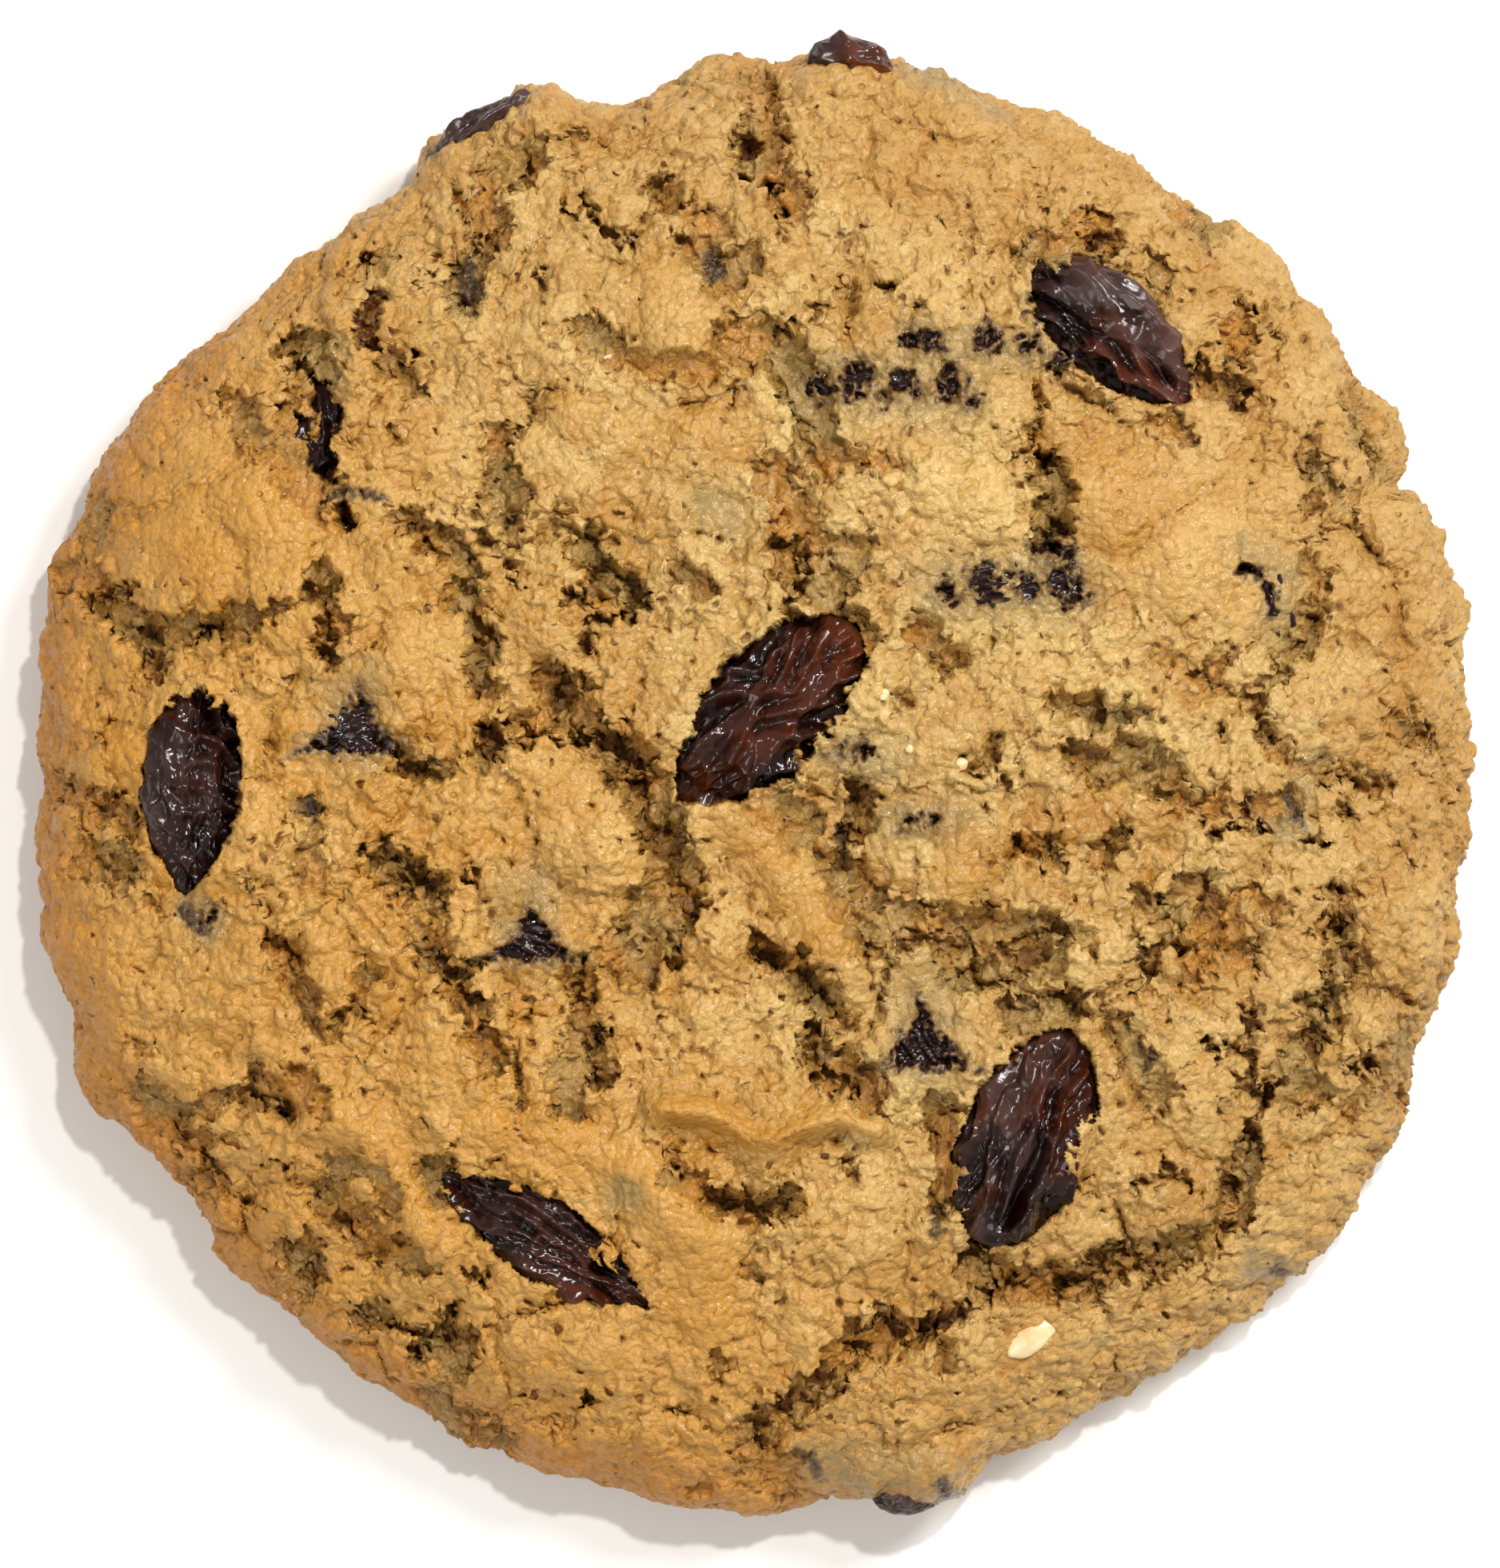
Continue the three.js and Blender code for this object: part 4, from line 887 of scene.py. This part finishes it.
def quartered(whole):  # four pieces that share the whole's normals, so that no seam shows
    mesh = whole.data
    count = len(mesh.vertices)
    points = np.empty(count * 3, dtype=np.float32)
    normals = np.empty(count * 3, dtype=np.float32)
    mesh.vertices.foreach_get("co", points)
    mesh.vertex_normals.foreach_get("vector", normals)
    points, normals = points.reshape(-1, 3) / mm, normals.reshape(-1, 3)
    corners = np.empty(len(mesh.loops), dtype=np.int32)
    mesh.loops.foreach_get("vertex_index", corners)
    corners = corners.reshape(-1, 3)
    fields = {}
    for name in doughFields:
        fields[name] = np.empty(count, dtype=np.float32)
        mesh.attributes[name].data.foreach_get("value", fields[name])
    middle = points[corners].mean(axis=1)
    quarter = (np.degrees(np.arctan2(middle[:, 1], middle[:, 0])) % 360 // 90).astype(int)
    pieces = []
    for k, side in enumerate(("north_east", "north_west", "south_west", "south_east")):
        own, local = np.unique(corners[quarter == k], return_inverse=True)
        ownFields = {name: values[own] for name, values in fields.items()}
        piece = meshObject("crust_" + side, points[own], local.reshape(-1, 3), ownFields)
        piece.data.normals_split_custom_set_from_vertices(normals[own])
        pieces.append(piece)
    bpy.data.objects.remove(whole)
    return pieces


def wrinkled(body, half, spec, seed):  # the body with its folds, and what the material reads at each place
    outward = body / half**2
    outward /= np.linalg.norm(outward, axis=1)[:, None]
    size = spec["foldSize"]
    bent = np.stack([softNoise(body, 2.4, seed + k) for k in range(3)], 1)
    across = body[:, 1] / half[1]
    calm = 1 - spec["calm"] * 0.7 * ramp(across, -0.15, 0.35)
    crumpled = ramp(softNoise(body, 3.2, seed + 11), -0.4, 0.3)
    facet = cells(body[:, :2] * np.array([0.36, 1]) + 0.42 * bent[:, :2], size, seed + 5)
    leaning = 2 * math.pi * facet["mark"]
    tilt = (np.cos(leaning) * facet["away"][:, 0] + np.sin(leaning) * facet["away"][:, 1]) / size
    flank = 1 - np.exp(-facet["edge"] / 0.25)
    small = cells(body[:, :2] * np.array([0.7, 1]) + 0.3 * bent[:, 1:], 0.45 * size, seed + 6)
    patch = softNoise(body, 3.0, seed + 9)
    ridges = []
    for slant in spec["slants"]:
        stir = 0.8 * softNoise(body * np.array([0.5, 1, 1]), 2.8, seed + 12 + slant)
        wave = turned(body[:, :2], slant)[:, 1] / size + stir
        ridges.append(1 - np.abs(np.sin(math.pi * wave)))
    swap = ramp(softNoise(body, 4.5, seed + 14), -0.2, 0.2)
    crest = ridges[0] * (1 - swap) + ridges[1] * swap
    crest *= ramp(softNoise(body, 2.3, seed + 15), -0.7, 0.35)
    facets = flank * (0.7 * tilt + 0.5 * (facet["mark"] - 0.5))
    rise = spec["fold"] * calm * (0.9 * crest + 0.3 * (1 - flank) + facets - 0.6)
    rise += (0.12 + 0.14 * crumpled) * calm * (np.exp(-small["edge"] / 0.13) - 0.3)
    rise *= 0.3 + 0.7 * np.clip(1.6 * outward[:, 2], 0, 1)  # the sides stay smooth
    endFade = ramp(1 - np.abs(body[:, 0] / half[0]), 0, 0.15)
    body = body + outward * np.minimum(rise, 0.5)[:, None] * endFade[:, None]
    glow = 0.35 + 0.7 * patch + 0.6 * body[:, 0] / half[0] + 0.9 * (facet["mark"] - 0.5)
    bloom = 0.5 + 0.9 * softNoise(body, 2.4, seed + 10) + 0.5 * ramp(across, -0.2, 0.6)
    bloom += small["mark"] - 0.5
    return body, {
        # painted shade: the grooves are darker
        "grooveShade": ramp(-rise, 0.15, 0.7),
        "glow": np.clip(spec["glow"] * glow, 0, 1),
        "bloom": np.clip(spec["bloom"] * bloom, 0, 1),
    }


def sideTriangles(around, rows, base=0):  # between rows of points, each row once around
    first = base + np.arange(around)
    after = np.roll(first, -1)
    faces = []
    for k in range(rows - 1):
        i, j = first + k * around, after + k * around
        faces += [np.stack([i, i + around, j + around], 1), np.stack([i, j + around, j], 1)]
    return faces


def makeRaisin(name, spec):
    showsWhole = spec["length"] > raisinShape["wholeFrom"]
    around, rows = raisinShape["fine"] if showsWhole else raisinShape["plain"]
    upper = around * 7 // 10  # most of the points lie on the top, which shows
    lower = around - upper
    phi = np.concatenate([np.arange(upper) / upper, 1 + np.arange(lower) / lower]) * math.pi
    theta = np.linspace(0, math.pi, rows + 2)[1:-1]
    t, a = np.meshgrid(np.cos(theta), phi, indexing="ij")
    t, a = t.ravel(), a.ravel()
    full = raisinShape["fullness"]
    boxy = (np.abs(np.cos(a)) ** full + np.abs(np.sin(a)) ** full) ** (-1 / full)
    share = halfWidthShare(t, spec)
    half = np.array([spec["length"], spec["width"], spec["width"] * raisinShape["flatness"]]) / 2
    sideways = boxy * np.cos(a) * half[1] * share
    upwards = boxy * np.sin(a) * half[2] * share
    body = np.vstack([np.stack([t * half[0], sideways, upwards], 1), (half[0], 0, 0), (-half[0], 0, 0)])
    body, fields = wrinkled(body, half, spec, sum(map(ord, name)))
    heading = math.radians(spec["heading"])
    cosine, sine = math.cos(heading), math.sin(heading)
    turn = np.array([(cosine, -sine, 0), (sine, cosine, 0), (0, 0, 1)])
    points = body @ turn.T + np.array([*spec["at"], raisinHigh(name, spec) - half[2]])
    first = np.arange(around)
    after = np.roll(first, -1)
    last = (rows - 1) * around
    head, tail = np.full(around, rows * around), np.full(around, rows * around + 1)
    faces = sideTriangles(around, rows)
    faces += [np.stack([head, first, after], 1), np.stack([last + after, last + first, tail], 1)]
    return meshObject(name + "_skin", points, np.concatenate(faces), fields)


def newMaterial(name):
    material = bpy.data.materials.new(name)
    material.use_nodes = True
    return material, material.node_tree.nodes["Principled BSDF"]


def addNode(material, kind, settings=None, inputs=None):  # inputs: values, hex colours or nodes' outputs
    node = material.node_tree.nodes.new(kind)
    for key, value in (settings or {}).items():
        setattr(node, key, value)
    for key, value in (inputs or {}).items():
        if isinstance(value, bpy.types.NodeSocket):
            material.node_tree.links.new(value, node.inputs[key])
        else:
            node.inputs[key].default_value = linear(value) if isinstance(value, str) else value
    return node


def painted(material, colour, layers):  # layers: what decides, its range, how strong at each end, the colour
    for decides, low, high, start, end, paint in layers:
        limits = {0: decides, 1: low, 2: high, 3: start, 4: end}
        amount = addNode(material, "ShaderNodeMapRange", inputs=limits)
        inputs = {0: amount.outputs[0], 6: colour, 7: paint}
        colour = addNode(material, "ShaderNodeMix", {"data_type": "RGBA"}, inputs).outputs[2]
    return colour


def joined(material, shader, colour, roughness=None, bump=None):  # two nodes' outputs, and the bump node
    links = material.node_tree.links
    links.new(colour, shader.inputs["Base Color"])
    if roughness:
        links.new(roughness, shader.inputs["Roughness"])
    if bump:
        links.new(bump.outputs["Normal"], shader.inputs["Normal"])


def perMetre(size):  # texture scale for a pattern whose cells are size mm across
    return 1 / (size * mm)


doughLook = {
    "noises": {  # size in mm, detail, roughness
        "mottle": (2.6, 5.0, 0.65),
        "patches": (5.0, 2.0, 0.5),
        "haze": (1.2, 3.0, 0.5),
        "grit": (0.45, 3.0, 0.5),
        "lumps": (0.9, 2.0, 0.5),
        "crumbs": (0.34, 3.0, 0.65),
        "butter": (0.7, 3.0, 0.5),
    },
    "flecks": 1.1,  # mm between specks of bran
    "grain": 0.5,  # mm between grains of the crumb
    "bump": 0.9,
    "bumpHeight": 0.17,
    "specular": 0.5,
    "crumb": "#aa7629",
    "wetCrumb": ("#ae7426", "#94763c"),  # golden and greyer patches
    "steps": (  # name of the result, what is done, and what with
        ("paleToneAndLitTops", "ADD", "toneAndLitTops", "mottle"),
        ("paleFleck", "MULTIPLY_ADD", "paleChance", 0.5, "fleck"),
        ("darkFleck", "MULTIPLY_ADD", "darkChance", 0.5, "fleck"),
        ("dots", "RANGE", "darkFleck", 0.14, 0.24, 1.0, 0.0),
        ("hazed", "RANGE", "haze", 0.3, 0.6, 0.25, 0.85),
        ("greyFilm", "MULTIPLY", "film", "hazed"),
        ("gritty", "MULTIPLY_ADD", "grit", 0.9, -0.45),
        ("veiled", "ADD", "skin", "gritty"),
        ("lumpy", "MULTIPLY_ADD", "lumps", 0.8, "crumbs"),
        ("domed", "POWER", "grain", 2.0),
        ("grainy", "MULTIPLY_ADD", "domed", -1.1, "lumpy"),
        ("bumps", "SUBTRACT", "grainy", "dots"),
        ("smoothOrFilm", "MAXIMUM", "smooth", "film"),
        ("wetOrSkin", "MAXIMUM", "wet", "skin"),
        ("damp", "MAXIMUM", "smoothOrFilm", "wetOrSkin"),
        ("buttery", "RANGE", "butter", 0.4, 0.6, 0.58, 0.12),
        ("dry", "MULTIPLY_ADD", "rim", 0.15, "buttery"),
        ("sheen", "MULTIPLY_ADD", "damp", -0.06, "dry"),
        ("slick", "RANGE", "film", 0.2, 0.8, 1.0, 0.5),
        ("rough", "MULTIPLY", "sheen", "slick"),
    ),
    "layers": (  # each over the one before: what decides, its range, how strong at each end, the colour
        # paler with the tone, and painted light on raised steps and knob tops
        ("paleToneAndLitTops", 0.45, 1.6, 0, 1, "#d4b46f"),
        ("paleFleck", 0.16, 0.34, 0.5, 0, "#e4ca92"),
        ("dots", 0, 1, 0, 0.5, "#8a5526"),
        ("smooth", 0, 1, 0, 0.4, "#c58b33"),
        # rim: browned, and painted darker at the upper right as shade against the key light
        ("rim", 0, 1, 0, 0.5, "#b18340"),
        # side and baked: painted shade on the lower-left side, darker still on its smooth rim
        ("side", 0, 1, 0, 0.5, "#c5851e"),
        ("baked", 0, 1, 0, 0.6, "#b06c16"),
        # low: painted shade between plates and in torn places
        ("low", 0.1, 1, 0, 0.18, "#a06c1c"),
        ("wet", 0.1, 0.9, 0, 0.75, "wetCrumb"),
        ("greyFilm", 0, 1, 0, 1, "#917a49"),
        ("pore", 0.1, 0.9, 0, 0.65, "#6e4019"),
        # the crevice layers: brown crumb in cracks, then painted shade that darkens with depth
        ("crevice", 0, 0.35, 0, 1, "#93692b"),
        ("crevice", 0.36, 0.85, 0, 1, "#662d0e"),
        ("veiled", 0.02, 0.4, 0, 1, "#7d5f33"),
        ("veiled", 0.3, 0.8, 0, 1, "#2b1209"),
        ("under", 0, 1, 0, 1, "#9c6a35"),
    ),
}


def bakedDough():  # oat dough browned in an oven: matt golden crumb with buttery glints and wet brown tears, with painted shade in its cracks, between plates and on its lower-left side
    material, shader = newMaterial("baked oat dough")
    place = addNode(material, "ShaderNodeTexCoord").outputs["Object"]
    value = {}
    for name in doughFields:
        value[name] = addNode(material, "ShaderNodeAttribute", {"attribute_name": name}).outputs["Fac"]
    for name, (size, detail, roughness) in doughLook["noises"].items():
        inputs = {"Vector": place, "Scale": perMetre(size), "Detail": detail, "Roughness": roughness}
        value[name] = addNode(material, "ShaderNodeTexNoise", inputs=inputs).outputs["Fac"]
    fleckInputs = {"Vector": place, "Scale": perMetre(doughLook["flecks"])}
    fleck = addNode(material, "ShaderNodeTexVoronoi", inputs=fleckInputs)
    chance = addNode(material, "ShaderNodeSeparateColor", inputs={0: fleck.outputs["Color"]})
    value["fleck"] = fleck.outputs["Distance"]
    value["paleChance"], value["darkChance"] = chance.outputs[0], chance.outputs[1]
    grainInputs = {"Vector": place, "Scale": perMetre(doughLook["grain"])}
    value["grain"] = addNode(material, "ShaderNodeTexVoronoi", inputs=grainInputs).outputs["Distance"]
    for name, operation, *parts in doughLook["steps"]:
        kind, settings = "ShaderNodeMath", {"operation": operation}
        if operation == "RANGE":
            kind, settings = "ShaderNodeMapRange", {}
        inputs = {slot: value.get(part, part) for slot, part in enumerate(parts)}
        value[name] = addNode(material, kind, settings, inputs).outputs[0]
    plain, patchy = doughLook["wetCrumb"]
    value["wetCrumb"] = painted(material, plain, [(value["patches"], 0.42, 0.58, 0, 1, patchy)])
    layers = []
    for name, *numbers, paint in doughLook["layers"]:
        layers.append((value[name], *numbers, value.get(paint, paint)))
    colour = painted(material, doughLook["crumb"], layers)
    bumpInputs = {
        "Strength": doughLook["bump"],
        "Distance": doughLook["bumpHeight"] * mm,
        "Height": value["bumps"],
    }
    joined(material, shader, colour, value["rough"], addNode(material, "ShaderNodeBump", inputs=bumpInputs))
    shader.inputs["Specular IOR Level"].default_value = doughLook["specular"]
    return material


raisinLook = {
    "dark": "#0e0302",
    "lighter": "#230a06",  # in soft clouds
    "glow": "#70300f",
    "bloom": "#5c4540",
    # painted shade in the grooves
    "grooveShade": "#0d0302",
    "clouds": 2.4,  # mm across
    "creases": 0.8,  # mm across
    "creaseHeight": 0.15,
    "bump": 0.7,
    "gloss": (0.11, 0.42),  # roughness where it is shiny and where it is dull
    "specular": 0.36,
}


def raisinSkin():  # dried grape: nearly black, wrinkled and sticky, amber where thin, dull where dry
    material, shader = newMaterial("dried raisin skin")
    place = addNode(material, "ShaderNodeTexCoord").outputs["Object"]
    value = {}
    for name in ("glow", "bloom", "grooveShade"):
        value[name] = addNode(material, "ShaderNodeAttribute", {"attribute_name": name}).outputs["Fac"]
    cloudInputs = {"Vector": place, "Scale": perMetre(raisinLook["clouds"]), "Detail": 4.0}
    cloud = addNode(material, "ShaderNodeTexNoise", inputs=cloudInputs)
    layers = [
        (cloud.outputs["Fac"], 0.35, 0.7, 0, 1, raisinLook["lighter"]),
        (value["glow"], 0, 1, 0, 1, raisinLook["glow"]),
        (value["bloom"], 0, 1, 0, 0.8, raisinLook["bloom"]),
        # painted shade in the grooves
        (value["grooveShade"], 0, 1, 0, 0.8, raisinLook["grooveShade"]),
    ]
    colour = painted(material, raisinLook["dark"], layers)
    creaseInputs = {
        "Vector": place,
        "Scale": perMetre(raisinLook["creases"]),
        "Detail": 3.0,
        "Roughness": 0.6,
    }
    creases = addNode(material, "ShaderNodeTexNoise", {"noise_type": "RIDGED_MULTIFRACTAL"}, creaseInputs)
    bumpInputs = {
        "Strength": raisinLook["bump"],
        "Distance": raisinLook["creaseHeight"] * mm,
        "Height": creases.outputs["Fac"],
    }
    shiny, dull = raisinLook["gloss"]
    rough = addNode(material, "ShaderNodeMapRange", inputs={0: value["bloom"], 1: 0, 2: 1, 3: shiny, 4: dull})
    joined(material, shader, colour, rough.outputs[0], addNode(material, "ShaderNodeBump", inputs=bumpInputs))
    shader.inputs["Specular IOR Level"].default_value = raisinLook["specular"]
    return material


oatLook = {
    "ivory": "#e8d2a2",
    "toasted": "#d2ac6e",
    "spots": 0.9,  # mm across
    "roughness": 0.28,
}


def oatFlake():  # pale chip of nut and specks of oat: ivory, a little waxy, toasted in spots
    material, shader = newMaterial("toasted nut and oat")
    place = addNode(material, "ShaderNodeTexCoord").outputs["Object"]
    spotInputs = {"Vector": place, "Scale": perMetre(oatLook["spots"]), "Detail": 3.0}
    spots = addNode(material, "ShaderNodeTexNoise", inputs=spotInputs)
    layers = [(spots.outputs["Fac"], 0.4, 0.75, 0, 1, oatLook["toasted"])]
    joined(material, shader, painted(material, oatLook["ivory"], layers))
    shader.inputs["Roughness"].default_value = oatLook["roughness"]
    return material


oats = [  # the chip of nut, then four specks of oat: x, y, length, width, heading
    (16.6, -33.1, 3.6, 1.7, 40), (12.3, 0.7, 0.9, 0.8, 20), (7.8, 4.8, 0.7, 0.6, 70),
    (9.3, 1.6, 0.5, 0.5, 0), (-8.4, 24.6, 0.6, 0.4, 30),
]


def oatPieces(whole, material):  # low rounded chips bedded in the crust
    points = np.empty(len(whole.data.vertices) * 3, dtype=np.float32)
    whole.data.vertices.foreach_get("co", points)
    points = points.reshape(-1, 3) / mm
    around, rows = 20, 12
    theta = np.linspace(0.02, math.pi - 0.02, rows)[:, None]
    a = (np.arange(around) / around * 2 * math.pi)[None, :]
    ball = np.stack([np.cos(theta) + 0 * a, np.sin(theta) * np.cos(a), np.sin(theta) * np.sin(a)], 2)
    ball = ball.reshape(-1, 3)
    parts, faces = [], []
    for k, (x, y, length, width, heading) in enumerate(oats):
        near = np.hypot(points[:, 0] - x, points[:, 1] - y) < 0.35 * length
        crustHeight = np.percentile(points[near & (points[:, 2] > 4), 2], 70)
        uneven = ball * (1 + 0.16 * softNoise(ball, 0.8, 80 + k))[:, None]
        local = uneven * np.array([length, width, 0.5 * width]) / 2
        plan = turned(local[:, :2], -heading) + np.array((x, y))
        parts.append(np.column_stack([plan, local[:, 2] + crustHeight - 0.1 * width]))
        base = k * around * rows
        faces += sideTriangles(around, rows, base)
        for row, flip in ((0, False), (rows - 1, True)):  # close both ends
            ring = base + row * around + np.arange(around)
            fan = np.stack([np.full(around - 2, ring[0]), ring[1:-1], ring[2:]], 1)
            faces.append(fan[:, ::-1] if flip else fan)
    obj = meshObject("nut_and_oats", np.concatenate(parts), np.concatenate(faces))
    obj.data.materials.append(material)
    return obj


def finished(piece, nodeName, material=None):
    if material:
        piece.data.materials.append(material)
    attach(piece, "root")
    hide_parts(nodeName)


crustMaterial = bakedDough()
raisinMaterial = raisinSkin()
wholeDough = makeDough()
print("dough shaped")
finished(oatPieces(wholeDough, oatFlake()), "dough")
quarters = quartered(wholeDough)
for piece in quarters:
    finished(piece, "dough", crustMaterial)
print("dough made of", sum(len(piece.data.polygons) for piece in quarters), "triangles")

for raisinName, raisinSpec in raisins.items():
    finished(makeRaisin(raisinName, raisinSpec), raisinName, raisinMaterial)
meshes = [o.data for o in bpy.data.objects if o.type == "MESH"]
print("raisins made; triangles in all", sum(len(mesh.polygons) for mesh in meshes))
